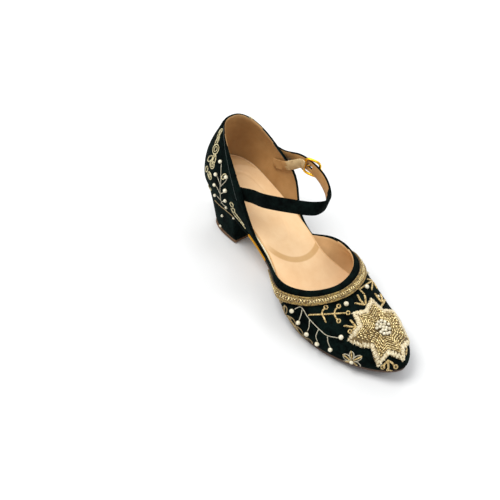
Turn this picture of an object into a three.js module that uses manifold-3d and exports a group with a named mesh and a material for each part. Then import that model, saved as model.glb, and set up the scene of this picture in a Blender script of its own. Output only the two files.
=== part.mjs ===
// A woman's block heel shoe for the left foot, in millimetres, +Z up, toe to +X, outer side to +Y.
// Every surface comes from one form of the foot: a sole line, two half widths and a ridge line.
// x runs from the back of the heel seat, and h is the height above the line where upper meets sole.
import * as THREE from "three";
import { mergeVertices } from "three/addons/utils/BufferGeometryUtils.js";
import Module from "manifold-3d";

const wasm = await Module();
wasm.setup();

// Driving dimensions
const LENGTH = 247; // sole line, back of the seat to the toe
const SEAT_X = 34; // where the round of the heel seat meets its sides
const SEAT_HALF_WIDTH = 26.5;
const SEAT_POWER = 2.3; // roundness of the seat's back
const WALL = 2.2; // velvet, stiffener and lining
const GAP = 0.3; // between neighbouring pieces
const TRIM_GAP = 0.52; // between the vamp and what is sewn on its curves
const SOLE_THICKNESS = 3.2;
const SOLE_EDGE = { waist: 0.5, fore: -0.7 }; // how far the sole stands out past the upper's foot
const BREAST_X = 58; // front face of the heel
const TOP_PIECE = 2.8; // wearing layer under the heel
const HEEL_BACK_TUCK = 23; // how far the heel's back slopes forward on its way down
const HEEL_FOOT_HALF_WIDTH = 16;
const JOIN_X = 100; // where the back part's low band runs into the vamp
const BAND_HEIGHT = 3; // low band of the upper along the waist
const THROAT_X = 162.3; // front of the vamp's opening
const THROAT_ROUND = { start: 1.2, end: 0.6 }; // how fully its front corners are rounded
const BINDING_WIDTH = 4.6;
const BINDING_RAISE = 0.6;
const INSOLE_HEIGHT = 4.8;
const PIPING = 1.1;
const BRAID_START = 5.8; // from the vamp's top line
const BRAID_WIDTH = 7.1;
const BRAID_THICK = 1.3;
const BRAID_END = 0.06; // turn of the vamp at which the braid stops
const STAR_CENTRE = { x: 214, turn: 1.63 };
const STAR_TIPS = [31.5, 27, 32.5, 33.5, 27.5, 31.7, 34]; // hand sewn, so the points differ
const STAR_NOTCHES = [24, 24.5, 23, 22.3, 20.5, 21.5, 23.5];
const STAR_LEANS = { 1: -0.18, 3: 0.15, 4: 0.17, 5: 0.06, 11: 0.2 }; // radians from an even turn
const STAR_TURN = -0.05; // radians from the toe line to the first point
const STAR_THICK = 1.4;
const STRAP_WIDTH = 11.5;
const STRAP_THICK = 2;
const TAB_WIDTH = 9;
const TAB_THICK = 1.3;
const PRONG_ROD = 1.5;
const BUCKLE_ROD = 2.2;
const BUCKLE_LONG = 12.6; // along the strap, between rod centres
const BUCKLE_TALL = 14.8; // across the strap, between rod centres
const ORIGIN_X = 34; // a place on the heel's ground face, 11 mm ahead of its back edge

// Sole line: height of the feather edge over the ground
const SOLE_LINE = [
  { x: -4, z: 46.6 },
  { x: 0, z: 46.5 },
  { x: 22, z: 44.7 },
  { x: 45, z: 41.0 },
  { x: 70, z: 33.8 },
  { x: 95, z: 23.4 },
  { x: 120, z: 12.2 },
  { x: 142, z: 5.4 },
  { x: 162, z: 3.5 },
  { x: 175, z: 3.4 },
  { x: 188, z: 3.5 },
  { x: 205, z: 5.4 },
  { x: 225, z: 8.2 },
  { x: 247, z: 12.4 },
  { x: 252, z: 13.5 },
];

// Half widths of the sole line on the inner and the outer side
const SIDES = {
  inner: { sign: -1, waistX: 96, waist: 21.5, ballX: 168, ball: 38.8, power: 1.9, root: 1.7 },
  outer: { sign: 1, waistX: 110, waist: 32, ballX: 153, ball: 43, power: 1.85, root: 1.8 },
};
const TOE_SWING = { from: 150, by: 3 };

// Back part: height of its top line, and how far its wall swells out and leans in
const BACK_HEIGHT = 55;
const BACK_LEAN = 6;
const BACK_SWELL = 2.5;
const QUARTER = {
  inner: {
    lean: 10,
    swell: [{ x: 34, by: 6 }, { x: JOIN_X, by: 8 }],
    rows: [
      { x: 0, h: 55 }, { x: 15, h: 51.6 }, { x: 30, h: 46.6 }, { x: 45, h: 39.5 },
      { x: 60, h: 31.2 }, { x: 74, h: 19 }, { x: 84, h: 8 }, { x: 92, h: BAND_HEIGHT },
      { x: JOIN_X, h: BAND_HEIGHT },
    ],
  },
  outer: {
    lean: 6.5,
    swell: [{ x: 34, by: 6.5 }, { x: JOIN_X, by: 11 }],
    rows: [
      { x: 0, h: 55 }, { x: 15, h: 50 }, { x: 30, h: 44 }, { x: 45, h: 37.5 },
      { x: 60, h: 31 }, { x: 66, h: 26 }, { x: 71, h: 17.5 }, { x: 76, h: 10 },
      { x: 84, h: 5 }, { x: 94, h: BAND_HEIGHT },
      { x: JOIN_X, h: BAND_HEIGHT },
    ],
  },
};

// Vamp: ridge height over the sole line, swell of its sides, and its top line
const VAMP_POWER = 2.35;
const RIDGE = [
  { x: 96, h: 62 }, { x: 110, h: 57 }, { x: 135, h: 44 }, { x: 167, h: 30.5 },
  { x: 187, h: 26.3 }, { x: 215, h: 20.6 }, { x: 235, h: 16 }, { x: 250, h: 14 },
];
const TOE_CAP = { from: 205, power: 2.9, root: 2.2 };
const VAMP_SWELL = [
  { x: JOIN_X, inner: 9, outer: 12 }, { x: 130, inner: 11.5, outer: 9 },
  { x: 160, inner: 8.5, outer: 6.5 }, { x: 200, inner: 3.5, outer: 4 },
  { x: 247, inner: 1, outer: 1 },
];
const VAMP_TOP = [
  { x: JOIN_X, h: BAND_HEIGHT }, { x: 106, h: 8.5 }, { x: 113, h: 15 }, { x: 122, h: 21 },
  { x: 134, h: 26 }, { x: 142, h: 28.3 }, { x: 150, h: 30 },
];

// Strap: middle line from the inner side over the instep, with the way that its width points
const STRAP_PATH = [
  { x: 84, y: -25.5, z: 78, ux: -0.55, uy: 0.3, uz: 0.78 },
  { x: 105, y: -17, z: 86, ux: -0.58, uy: 0.5, uz: 0.64 },
  { x: 118.5, y: -3, z: 87.5, ux: -0.3, uy: 0.66, uz: 0.68 },
  { x: 117.5, y: 13.5, z: 83.5, ux: -0.12, uy: 0.45, uz: 0.88 },
  { x: 105.5, y: 28.5, z: 79.7, ux: -0.1, uy: 0.1, uz: 0.98 },
  { x: 92, y: 35.8, z: 79.3, ux: 0, uy: 0.05, uz: 1 },
  { x: 81, y: 38.6, z: 79, ux: 0.05, uy: 0, uz: 1 },
  { x: 68, y: 39.3, z: 78.2, ux: 0.06, uy: 0, uz: 1 },
  { x: 58, y: 38.4, z: 76.4, ux: 0.12, uy: -0.03, uz: 1 },
];
// Its sewn end inside the inner wall, and its free end outside the outer wall
const STRAP_ROOT = [
  { x: 46, h: 21, tip: -0.4, more: 0 },
  { x: 56, h: 25.5, tip: -0.42, more: 0.2 },
  { x: 67, h: 32.5, tip: -0.45, more: 1.6 },
];
const STRAP_TAIL = [
  { x: 47, z: 73.4, tip: 0.18, more: 0.8 },
  { x: 37, z: 70.8, tip: 0.2, more: 0 },
];

// Small helpers
const clamp = (v, low, high) => Math.min(Math.max(v, low), high);
const lerp = (a, b, t) => a + (b - a) * t;
const cosineStep = (t) => 0.5 - 0.5 * Math.cos(Math.PI * clamp(t, 0, 1));
const range = (n) => [...Array(n).keys()];

// Smooth curve through a table's rows, with no overshoot between them
function through(rows, column) {
  const xs = rows.map((r) => r.x);
  const ys = rows.map((r) => r[column]);
  const slopes = xs.slice(1).map((x, i) => (ys[i + 1] - ys[i]) / (x - xs[i]));
  const tangents = ys.map((_, i) => {
    if (i === 0) return slopes[0];
    if (i === ys.length - 1) return slopes[i - 1];
    const product = slopes[i - 1] * slopes[i];
    return product <= 0 ? 0 : (2 * product) / (slopes[i - 1] + slopes[i]);
  });
  return (x) => {
    const v = clamp(x, xs[0], xs[xs.length - 1]);
    let i = 0;
    while (i < xs.length - 2 && v > xs[i + 1]) i += 1;
    const w = xs[i + 1] - xs[i];
    const t = (v - xs[i]) / w;
    const a = (1 + 2 * t) * (1 - t) ** 2 * ys[i] + t * (1 - t) ** 2 * w * tangents[i];
    return a + t * t * (3 - 2 * t) * ys[i + 1] + t * t * (t - 1) * w * tangents[i + 1];
  };
}

const soleLine = through(SOLE_LINE, "z");
const ridge = through(RIDGE, "h");
const vampSwell = {
  inner: through(VAMP_SWELL, "inner"),
  outer: through(VAMP_SWELL, "outer"),
};
const vampTop = through(VAMP_TOP, "h");
const toeSwing = (x) => {
  const t = clamp((x - TOE_SWING.from) / (LENGTH - TOE_SWING.from), 0, 1.1);
  return TOE_SWING.by * t * t;
};

// Half width of the sole line at x, drawn in by inset, with the toe cut back by toeCut
function halfWidth(side, x, inset = 0, toeCut = inset) {
  const s = SIDES[side];
  const seat = SEAT_HALF_WIDTH - inset;
  const waist = s.waist - inset;
  const ball = s.ball - inset;
  if (x < SEAT_X) {
    const u = clamp((SEAT_X - x) / SEAT_X, 0, 1);
    return seat * (1 - u ** SEAT_POWER) ** (1 / SEAT_POWER);
  }
  if (x < s.waistX) return lerp(seat, waist, cosineStep((x - SEAT_X) / (s.waistX - SEAT_X)));
  if (x < s.ballX) return lerp(waist, ball, cosineStep((x - s.waistX) / (s.ballX - s.waistX)));
  const v = clamp((x - s.ballX) / (LENGTH - toeCut - s.ballX), 0, 1);
  return ball * (1 - v ** s.power) ** (1 / s.root);
}

// Inward direction, in plan, of the sole line at x
function inward(side, x) {
  const sign = SIDES[side].sign;
  if (x < SEAT_X) {
    const u = (SEAT_X - x) / SEAT_X;
    const w = halfWidth(side, x) / SEAT_HALF_WIDTH;
    const nx = u ** (SEAT_POWER - 1) / SEAT_X;
    const ny = w ** (SEAT_POWER - 1) / SEAT_HALF_WIDTH;
    const size = Math.hypot(nx, ny);
    return { x: nx / size, y: (-sign * ny) / size };
  }
  const step = 0.5;
  const slope = (halfWidth(side, x + step) - halfWidth(side, x - step)) / (2 * step);
  const size = Math.hypot(1, slope);
  return { x: slope / size, y: -sign / size };
}

// Point of the back part's wall: station x, height h, drawn in by inset
function backWall(side, x, h, inset = 0) {
  const n = inward(side, x);
  const back = x < SEAT_X ? clamp(n.x, 0, 1) : 0;
  const q = QUARTER[side];
  const [first, last] = q.swell;
  const sideSwell = lerp(first.by, last.by, clamp((x - first.x) / (last.x - first.x), 0, 1));
  const swell = lerp(sideSwell, BACK_SWELL, back);
  const lean = lerp(q.lean, BACK_LEAN, back);
  const u = h / BACK_HEIGHT;
  const offset = lean * u * u - swell * Math.sin(Math.PI * clamp(u, 0, 1)) + inset;
  const y = SIDES[side].sign * halfWidth(side, x) + toeSwing(x);
  return new THREE.Vector3(x + n.x * offset, y + n.y * offset, soleLine(x) + h);
}

// Height of the vamp's ridge over the sole line, falling to nothing at the toe
function ridgeHeight(x, inset = 0) {
  const v = clamp((x - TOE_CAP.from) / (LENGTH - inset - TOE_CAP.from), 0, 1);
  return (ridge(x) - inset) * (1 - v ** TOE_CAP.power) ** (1 / TOE_CAP.root);
}

// Point of the vamp: turn runs from 0 at the inner sole line over the ridge to pi at the outer one
function vampPoint(x, turn, inset = 0, lift = 0) {
  const side = turn < Math.PI / 2 ? "inner" : "outer";
  const up = Math.abs(Math.sin(turn)) ** (2 / VAMP_POWER);
  const out = Math.abs(Math.cos(turn)) ** (2 / VAMP_POWER);
  const fade = Math.sqrt(clamp((LENGTH - inset - x) / 15, 0, 1));
  const swell = vampSwell[side](x) * fade * Math.sin(Math.PI * clamp(up, 0, 1));
  const y = SIDES[side].sign * (halfWidth(side, x, inset) * out + swell) + toeSwing(x);
  return new THREE.Vector3(x, y, soleLine(x) + lift + ridgeHeight(x, inset) * up);
}

// Inner or outer wall of the whole upper at height h, drawn in by inset, for what lies inside it
function insideEdge(side, x, h, inset, toeCut) {
  if (x < JOIN_X) return backWall(side, x, h, inset);
  const share = clamp(h / ridgeHeight(Math.min(x, 236), inset), 0, 0.98);
  const out = (1 - share ** VAMP_POWER) ** (1 / VAMP_POWER);
  const swell = vampSwell[side](x) * Math.sin(Math.PI * share);
  const fade = clamp((LENGTH - toeCut - x) / 12, 0, 1);
  const y = SIDES[side].sign * (halfWidth(side, x, inset, toeCut) * out + swell * fade);
  return new THREE.Vector3(x, y + toeSwing(x), soleLine(x) + h);
}

// Mesh building: faces are lists of points, and equal points are merged afterwards
class Skin {
  constructor() {
    this.points = [];
  }
  triangle(a, b, c) {
    this.points.push(a, b, c);
  }
  quad(a, b, c, d) {
    if (a.distanceTo(c) <= b.distanceTo(d)) {
      this.triangle(a, b, c);
      this.triangle(a, c, d);
    } else {
      this.triangle(a, b, d);
      this.triangle(b, c, d);
    }
  }
  // Band of faces between two lines with equally many points
  band(one, two) {
    range(one.length - 1).forEach((i) => this.quad(one[i], one[i + 1], two[i + 1], two[i]));
  }
  // Band between two open lines whose numbers of points differ
  zip(one, two) {
    let i = 0;
    let j = 0;
    while (i < one.length - 1 || j < two.length - 1) {
      const stepOne = i < one.length - 1 ? one[i + 1].distanceTo(two[j]) : Infinity;
      const stepTwo = j < two.length - 1 ? two[j + 1].distanceTo(one[i]) : Infinity;
      if (stepOne <= stepTwo) {
        this.triangle(one[i], one[i + 1], two[j]);
        i += 1;
      } else {
        this.triangle(one[i], two[j + 1], two[j]);
        j += 1;
      }
    }
  }
  geometry() {
    const kept = [];
    for (let i = 0; i < this.points.length; i += 3) {
      const [a, b, c] = this.points.slice(i, i + 3);
      const flat = a.distanceTo(b) < 1e-4 || b.distanceTo(c) < 1e-4 || a.distanceTo(c) < 1e-4;
      if (!flat) kept.push(a, b, c);
    }
    const g = new THREE.BufferGeometry().setFromPoints(kept);
    const merged = mergeVertices(g, 1e-4);
    return signedVolume(merged) < 0 ? turnedRound(merged) : merged;
  }
}

function signedVolume(geometry) {
  const p = geometry.attributes.position;
  const index = geometry.index.array;
  const [a, b, c] = [new THREE.Vector3(), new THREE.Vector3(), new THREE.Vector3()];
  let volume = 0;
  for (let i = 0; i < index.length; i += 3) {
    a.fromBufferAttribute(p, index[i]);
    b.fromBufferAttribute(p, index[i + 1]);
    c.fromBufferAttribute(p, index[i + 2]);
    volume += a.dot(b.cross(c)) / 6;
  }
  return volume;
}

function turnedRound(geometry) {
  const index = geometry.index.array;
  for (let i = 0; i < index.length; i += 3) {
    [index[i + 1], index[i + 2]] = [index[i + 2], index[i + 1]];
  }
  return geometry;
}

// Solid of stacked rings. Point 0 is the back pole and the middle point the front pole, so a cap
// is made of strips across from one side to the other.
function ringSolid(rings) {
  const skin = new Skin();
  const close = (ring) => [...ring, ring[0]];
  rings.slice(1).forEach((ring, i) => skin.band(close(rings[i]), close(ring)));
  const cap = (ring, flip) => {
    const n = ring.length;
    range(Math.floor(n / 2)).forEach((k) => {
      const four = [ring[k], ring[k + 1], ring[(n - k - 1) % n], ring[(n - k) % n]];
      skin.quad(...(flip ? four.reverse() : four));
    });
  };
  cap(rings[0], true);
  cap(rings[rings.length - 1], false);
  return skin.geometry();
}

// Solid swept along sections that all have the same number of points, closed by a fan at each end
function sweptSolid(sections, closed = false) {
  const skin = new Skin();
  const close = (s) => [...s, s[0]];
  sections.slice(1).forEach((s, i) => skin.band(close(sections[i]), close(s)));
  const last = sections[sections.length - 1];
  if (closed) {
    skin.band(close(last), close(sections[0]));
    return skin.geometry();
  }
  range(sections[0].length - 2).forEach((k) => {
    skin.triangle(sections[0][0], sections[0][k + 2], sections[0][k + 1]);
    skin.triangle(last[0], last[k + 1], last[k + 2]);
  });
  return skin.geometry();
}

// Stations along the sole line, close together where it turns
const backTurns = range(9).map((k) => (k / 9) * (Math.PI / 2));
const backStations = backTurns.map((a) => SEAT_X * (1 - Math.cos(a) ** (2 / SEAT_POWER)));
const sideStations = [SEAT_X, 40, 46, 52, BREAST_X, 64, 70, 76, 82, 88, 94, JOIN_X];
const foreStations = [106, 113, 121, 130, 139, 148, 156, 162, 168.5, 175, 181.5, 188, 196];
const TOE_STEPS = 13;
const toeStations = range(TOE_STEPS).map(
  (k) => 196 + (LENGTH - 196) * Math.sin(((k + 1) / TOE_STEPS) * (Math.PI / 2)),
);
const allStations = [...backStations, ...sideStations, ...foreStations, ...toeStations];

// Closed ring round the foot: inner side forwards, then outer side back
function plan(stations, pointAt) {
  const front = stations.length - 1;
  const innerLine = stations.map((x) => pointAt("inner", x));
  const outerLine = stations.slice(1, front).map((x) => pointAt("outer", x));
  return [...innerLine, ...outerLine.reverse()];
}

function mesh(name, geometry, colour, roughness, metalness = 0) {
  geometry.deleteAttribute("normal");
  const material = new THREE.MeshStandardMaterial({ color: colour, roughness, metalness });
  const made = new THREE.Mesh(geometry, material);
  made.name = name;
  return made;
}

// Outsole: from the heel's breast to the toe, with a flat spot under the ball
function outsole() {
  const stations = [BREAST_X + GAP, ...allStations.filter((x) => x > BREAST_X)];
  const under = (x) => Math.max(0, soleLine(x) - GAP - SOLE_THICKNESS);
  const levels = [
    { more: -1, up: 0 },
    { more: -0.3, up: 0.2 },
    { more: 0, up: 0.5 },
    { more: 0, up: 0.9 },
    { more: -0.3, up: 1 },
  ];
  const rings = levels.map(({ more, up }) => {
    const at = (side, x) => {
      const share = cosineStep((x - JOIN_X) / 20);
      const out = lerp(SOLE_EDGE.waist, SOLE_EDGE.fore, share) + more;
      const grown = x > 168 ? x + (out * (x - 168)) / (LENGTH - 168) : x;
      const y = SIDES[side].sign * halfWidth(side, grown, -out) + toeSwing(grown);
      return new THREE.Vector3(grown, y, lerp(under(grown), soleLine(grown) - GAP, up));
    };
    const inner = stations.map((x) => at("inner", x));
    const outer = stations.slice(0, -1).map((x) => at("outer", x));
    const middle = new THREE.Vector3(stations[0], 0, inner[0].z);
    return [middle, ...inner, ...outer.reverse()];
  });
  return ringSolid(rings);
}

// Heel: leans forward at its back and narrows to the ground
function heelRing(share, drawIn, z) {
  const stations = [...backStations, ...sideStations.filter((x) => x < BREAST_X), BREAST_X];
  const eased = share ** 0.75;
  const back = HEEL_BACK_TUCK * eased;
  const front = BREAST_X - 2.2 * Math.sin(Math.PI * share) - drawIn;
  const wide = lerp(SEAT_HALF_WIDTH, HEEL_FOOT_HALF_WIDTH, eased) - drawIn;
  const at = (side, x) => {
    const w = (halfWidth(side, x) / SEAT_HALF_WIDTH) * wide;
    const moved = back + drawIn + ((front - back - drawIn) * x) / BREAST_X;
    return new THREE.Vector3(moved, SIDES[side].sign * w, z(x));
  };
  const inner = stations.map((x) => at("inner", x));
  const outer = stations.slice(1).map((x) => at("outer", x));
  const middle = new THREE.Vector3(front, 0, z(BREAST_X));
  return [...inner, middle, ...outer.reverse()];
}

function heel() {
  const foot = TOP_PIECE + GAP;
  const top = (x) => soleLine(x) - GAP;
  const shares = [0, 0.15, 0.35, 0.55, 0.78, 1];
  return ringSolid(shares.map((s) => heelRing(s, 0, (x) => lerp(top(x), foot, s))));
}

function topPiece() {
  const levels = [{ z: TOP_PIECE, in: 0 }, { z: 0.8, in: 0 }, { z: 0, in: 0.8 }];
  return ringSolid(levels.map((l) => heelRing(1, l.in, () => l.z)));
}

// Insole, and the piping round its edge, both inside the upper's wall
const INSOLE_TOE_CUT = 11;
function edgeRing(h, inset) {
  const cut = INSOLE_TOE_CUT + inset;
  const squeeze = (LENGTH - cut - 196) / (LENGTH - 196);
  const stations = allStations.map((x) => (x > 196 ? 196 + (x - 196) * squeeze : x));
  return plan(stations, (side, x) => insideEdge(side, x, h, inset, cut));
}

function insole() {
  const start = WALL + 3 * GAP + PIPING;
  const levels = [
    { h: 0.1, in: start + 0.8 },
    { h: 0.9, in: start },
    { h: INSOLE_HEIGHT - 1.2, in: start },
    { h: INSOLE_HEIGHT - 0.3, in: start + 0.5 },
    { h: INSOLE_HEIGHT, in: start + 1.6 },
  ];
  return ringSolid(levels.map((l) => edgeRing(l.h, l.in)));
}

function insolePiping() {
  const start = WALL + 2 * GAP;
  const section = [
    { h: 0.2, in: start + 0.3 },
    { h: 1.2, in: start },
    { h: INSOLE_HEIGHT - 1, in: start },
    { h: INSOLE_HEIGHT - 0.3, in: start + PIPING * 0.45 },
    { h: INSOLE_HEIGHT - 1, in: start + PIPING },
    { h: 0.2, in: start + PIPING },
  ];
  const rings = section.map((s) => edgeRing(s.h, s.in));
  return sweptSolid(rings, true);
}

// Upper: one hollow wall all round the foot, low along the waist, closed over the toes
const quarterTop = {
  inner: through(QUARTER.inner.rows, "h"),
  outer: through(QUARTER.outer.rows, "h"),
};

// One upright section of the back part, from the outer foot over the rim to the inner foot
function quarterSection(side, x) {
  const top = quarterTop[side](x);
  const binding = Math.min(BINDING_WIDTH, top * 0.45);
  const rim = Math.min(0.8, top * 0.2);
  const field = top - binding;
  const outside = [0, 0.12, 0.28, 0.45, 0.62, 0.8, 0.97].map((f) =>
    backWall(side, x, f * field),
  );
  const raised = [field, lerp(field, top, 0.5), top - rim].map((h) =>
    backWall(side, x, h, -BINDING_RAISE),
  );
  const crest = [backWall(side, x, top, WALL * 0.4 - BINDING_RAISE / 2)];
  const inside = [top - rim, ...[0.85, 0.66, 0.47, 0.28, 0.1, 0].map((f) => f * top)].map(
    (h) => backWall(side, x, h, WALL),
  );
  return [...outside, ...raised, ...crest, ...inside];
}

// The vamp's top line as a turn at each x, and back again
function turnAtHeight(x, h) {
  const share = clamp(h / ridgeHeight(x), 0, 1);
  return Math.asin(share ** (VAMP_POWER / 2));
}

const bandTurn = turnAtHeight(JOIN_X, BAND_HEIGHT);
const throatLine = range(81).map((k) => {
  const x = lerp(JOIN_X, THROAT_X, Math.sin((k / 80) * (Math.PI / 2)));
  const last = VAMP_TOP[VAMP_TOP.length - 1];
  const close = clamp((x - last.x) / (THROAT_X - last.x), 0, 1);
  const flatTurn = turnAtHeight(Math.min(x, last.x), vampTop(Math.min(x, last.x)));
  const round = 1 - (1 - close ** THROAT_ROUND.start) ** THROAT_ROUND.end;
  const rising = turnAtHeight(x, vampTop(x));
  const turn = x < last.x ? rising : lerp(flatTurn, Math.PI / 2, round);
  return { x, turn: Math.max(turn, bandTurn) };
});

function throatX(turn) {
  const t = turn > Math.PI / 2 ? Math.PI - turn : turn;
  if (t <= bandTurn) return JOIN_X;
  const k = throatLine.findIndex((p) => p.turn >= t);
  if (k < 1) return THROAT_X;
  const [a, b] = [throatLine[k - 1], throatLine[k]];
  return lerp(a.x, b.x, (t - a.turn) / Math.max(b.turn - a.turn, 1e-9));
}

const throatPoints = [
  ...throatLine.map((p) => vampPoint(p.x, p.turn)),
  ...throatLine.map((p) => vampPoint(p.x, Math.PI - p.turn)).reverse(),
];

// x along one turn of the vamp at a distance from its top line
function awayFromThroat(turn, distance) {
  const step = 0.4;
  let before = 0;
  for (let x = throatX(turn); x < LENGTH; x += step) {
    const p = vampPoint(x, turn);
    const d = Math.min(...throatPoints.map((q) => q.distanceTo(p)));
    if (d >= distance) return x - step * ((d - distance) / Math.max(d - before, 1e-6));
    before = d;
  }
  return LENGTH;
}

// Turns of the vamp's columns: a few in the low band, then evenly over the ridge
const BAND_COLUMNS = 2;
const TOP_COLUMNS = 36;
const vampTurns = [
  ...range(BAND_COLUMNS).map((k) => (k / BAND_COLUMNS) * bandTurn),
  ...range(TOP_COLUMNS + 1).map((k) => lerp(bandTurn, Math.PI - bandTurn, k / TOP_COLUMNS)),
  ...range(BAND_COLUMNS).map((k) => Math.PI - (1 - (k + 1) / BAND_COLUMNS) * bandTurn),
];

// Steps of its rows along the vamp, in millimetres for the longest column
const VAMP_STEPS = [6, 6, 6, 6.5, 7, 8, 9, 10, 11, 11, 11, 10, 9, 8, 6, 5, 3.5, 2];
function vampColumn(turn) {
  const start = throatX(turn);
  const edge = awayFromThroat(turn, BINDING_WIDTH);
  const whole = VAMP_STEPS.reduce((a, b) => a + b);
  const rows = VAMP_STEPS.map((_, k) => {
    const passed = VAMP_STEPS.slice(0, k + 1).reduce((a, b) => a + b);
    return lerp(edge + 0.4, LENGTH, passed / whole);
  });
  const xs = [
    { x: start, raise: BINDING_RAISE },
    { x: edge, raise: BINDING_RAISE },
    { x: edge + 0.4, raise: 0 },
    ...rows.map((x) => ({ x, raise: 0 })),
  ];
  const outside = xs.map((r) => vampPoint(r.x, turn, -r.raise));
  const inside = xs.map((r) => {
    const x = lerp(start, LENGTH - WALL, (r.x - start) / (LENGTH - start));
    return vampPoint(x, turn, WALL);
  });
  const crest = vampPoint(start - 0.5, turn, WALL / 2 - BINDING_RAISE / 2);
  return { outside, inside, crest };
}

function upper() {
  const skin = new Skin();
  const quarterStations = [
    ...[...sideStations].reverse().map((x) => ["inner", Math.min(x, JOIN_X - 2)]),
    ...[...backStations].reverse().map((x) => ["inner", x]),
    ...backStations.slice(1).map((x) => ["outer", x]),
    ...sideStations.map((x) => ["outer", Math.min(x, JOIN_X - 2)]),
  ];
  const sections = quarterStations.map(([side, x]) => quarterSection(side, x));
  sections.slice(1).forEach((s, i) => {
    skin.band(s, sections[i]);
    const [a, b] = [sections[i], s];
    skin.quad(a[a.length - 1], b[b.length - 1], b[0], a[0]);
  });

  const columns = vampTurns.map(vampColumn);
  const bandEnd = BAND_COLUMNS;
  const rimEnd = columns.length - 1 - BAND_COLUMNS;
  columns.slice(1).forEach((two, i) => {
    const one = columns[i];
    skin.band(two.outside, one.outside);
    skin.band(one.inside, two.inside);
    if (i >= bandEnd && i + 1 <= rimEnd) {
      skin.quad(two.outside[0], one.outside[0], one.crest, two.crest);
      skin.quad(two.crest, one.crest, one.inside[0], two.inside[0]);
    }
  });
  const first = columns[0];
  const last = columns[columns.length - 1];
  skin.band(first.outside, first.inside);
  skin.band(last.inside, last.outside);

  const openEnd = (list, rim) => [
    ...list.map((c) => c.outside[0]),
    columns[rim].crest,
    ...[...list].reverse().map((c) => c.inside[0]),
  ];
  const innerEnd = openEnd(columns.slice(0, bandEnd + 1), bandEnd);
  const outerEnd = openEnd([...columns.slice(rimEnd)].reverse(), rimEnd);
  const [firstSection, lastSection] = [sections[0], sections[sections.length - 1]];
  skin.zip(firstSection, innerEnd);
  skin.zip(outerEnd, lastSection);
  const foot = (section, end) => [
    section[0], end[0], end[end.length - 1], section[section.length - 1],
  ];
  skin.quad(...foot(firstSection, innerEnd));
  skin.quad(...foot(lastSection, outerEnd).reverse());
  return skin.geometry();
}

// Braid: a raised strip that follows the vamp's top line at a distance
function vampBraid() {
  const turns = range(43).map((k) => lerp(BRAID_END, Math.PI - BRAID_END, k / 42));
  const sections = turns.map((turn) => {
    const near = awayFromThroat(turn, BRAID_START);
    const far = awayFromThroat(turn, BRAID_START + BRAID_WIDTH);
    const high = BRAID_THICK + TRIM_GAP;
    const at = (share, lift) => vampPoint(lerp(near, far, share), turn, -lift);
    return [
      at(0, TRIM_GAP), at(0.02, high * 0.8), at(0.15, high), at(0.85, high),
      at(0.98, high * 0.8), at(1, TRIM_GAP), at(0.5, TRIM_GAP),
    ];
  });
  return sweptSolid(sections);
}

// Turn of the vamp that lies in the same direction as a point near it
function turnToward(p) {
  const x = clamp(p.x, JOIN_X, LENGTH - 0.02);
  const angle = (q) => Math.atan2(q.z - soleLine(x), toeSwing(x) - q.y);
  const wanted = angle(p);
  let low = 0;
  let high = Math.PI;
  range(30).forEach(() => {
    const middle = (low + high) / 2;
    if (angle(vampPoint(x, middle)) < wanted) low = middle;
    else high = middle;
  });
  return (low + high) / 2;
}

// Outward direction of the vamp, with the directions to the toe and to the outer side
function vampAxes(x, turn) {
  const near = clamp(x, JOIN_X + 0.5, LENGTH - 0.6);
  const toToe = vampPoint(near + 0.4, turn).sub(vampPoint(near - 0.4, turn)).normalize();
  const across = vampPoint(near, turn + 0.01).sub(vampPoint(near, turn - 0.01)).normalize();
  const out = across.clone().cross(toToe).normalize().negate();
  return { toToe, across: out.clone().cross(toToe), out };
}

// Walk over the vamp from a place in a direction, and give the place reached after each step
function walkOverVamp(from, angle, step, count) {
  const axes = vampAxes(from.x, from.turn);
  let place = vampPoint(from.x, from.turn);
  let heading = axes.toToe.clone().multiplyScalar(Math.cos(angle));
  heading.addScaledVector(axes.across, Math.sin(angle));
  const passed = [];
  for (let k = 0; k < count; k += 1) {
    let reach = step;
    let next = place;
    range(3).forEach(() => {
      const ahead = place.clone().addScaledVector(heading, reach);
      next = vampPoint(Math.min(ahead.x, LENGTH - 0.3), turnToward(ahead));
      reach *= step / Math.max(next.distanceTo(place), 0.1);
    });
    heading = next.clone().sub(place).normalize();
    place = next;
    passed.push(place);
  }
  return passed;
}

// Star patch: a thick embroidered star over the toes
function starRadius(angle) {
  const points = STAR_TIPS.length;
  const around = (((angle - STAR_TURN) / (2 * Math.PI)) * points + points) % points;
  const k = Math.floor(around);
  const tip = STAR_TIPS[around - k < 0.5 ? k : (k + 1) % points];
  const t = Math.abs(around - k - 0.5) * 2;
  return lerp(STAR_NOTCHES[k], tip, t ** 1.15);
}

// How far the ray at this share of a turn leans, between the corners beside it
function starLean(share) {
  const corners = STAR_TIPS.length * 2;
  const k = Math.floor(share * corners);
  const near = STAR_LEANS[k] ?? 0;
  return lerp(near, STAR_LEANS[(k + 1) % corners] ?? 0, share * corners - k);
}

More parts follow.
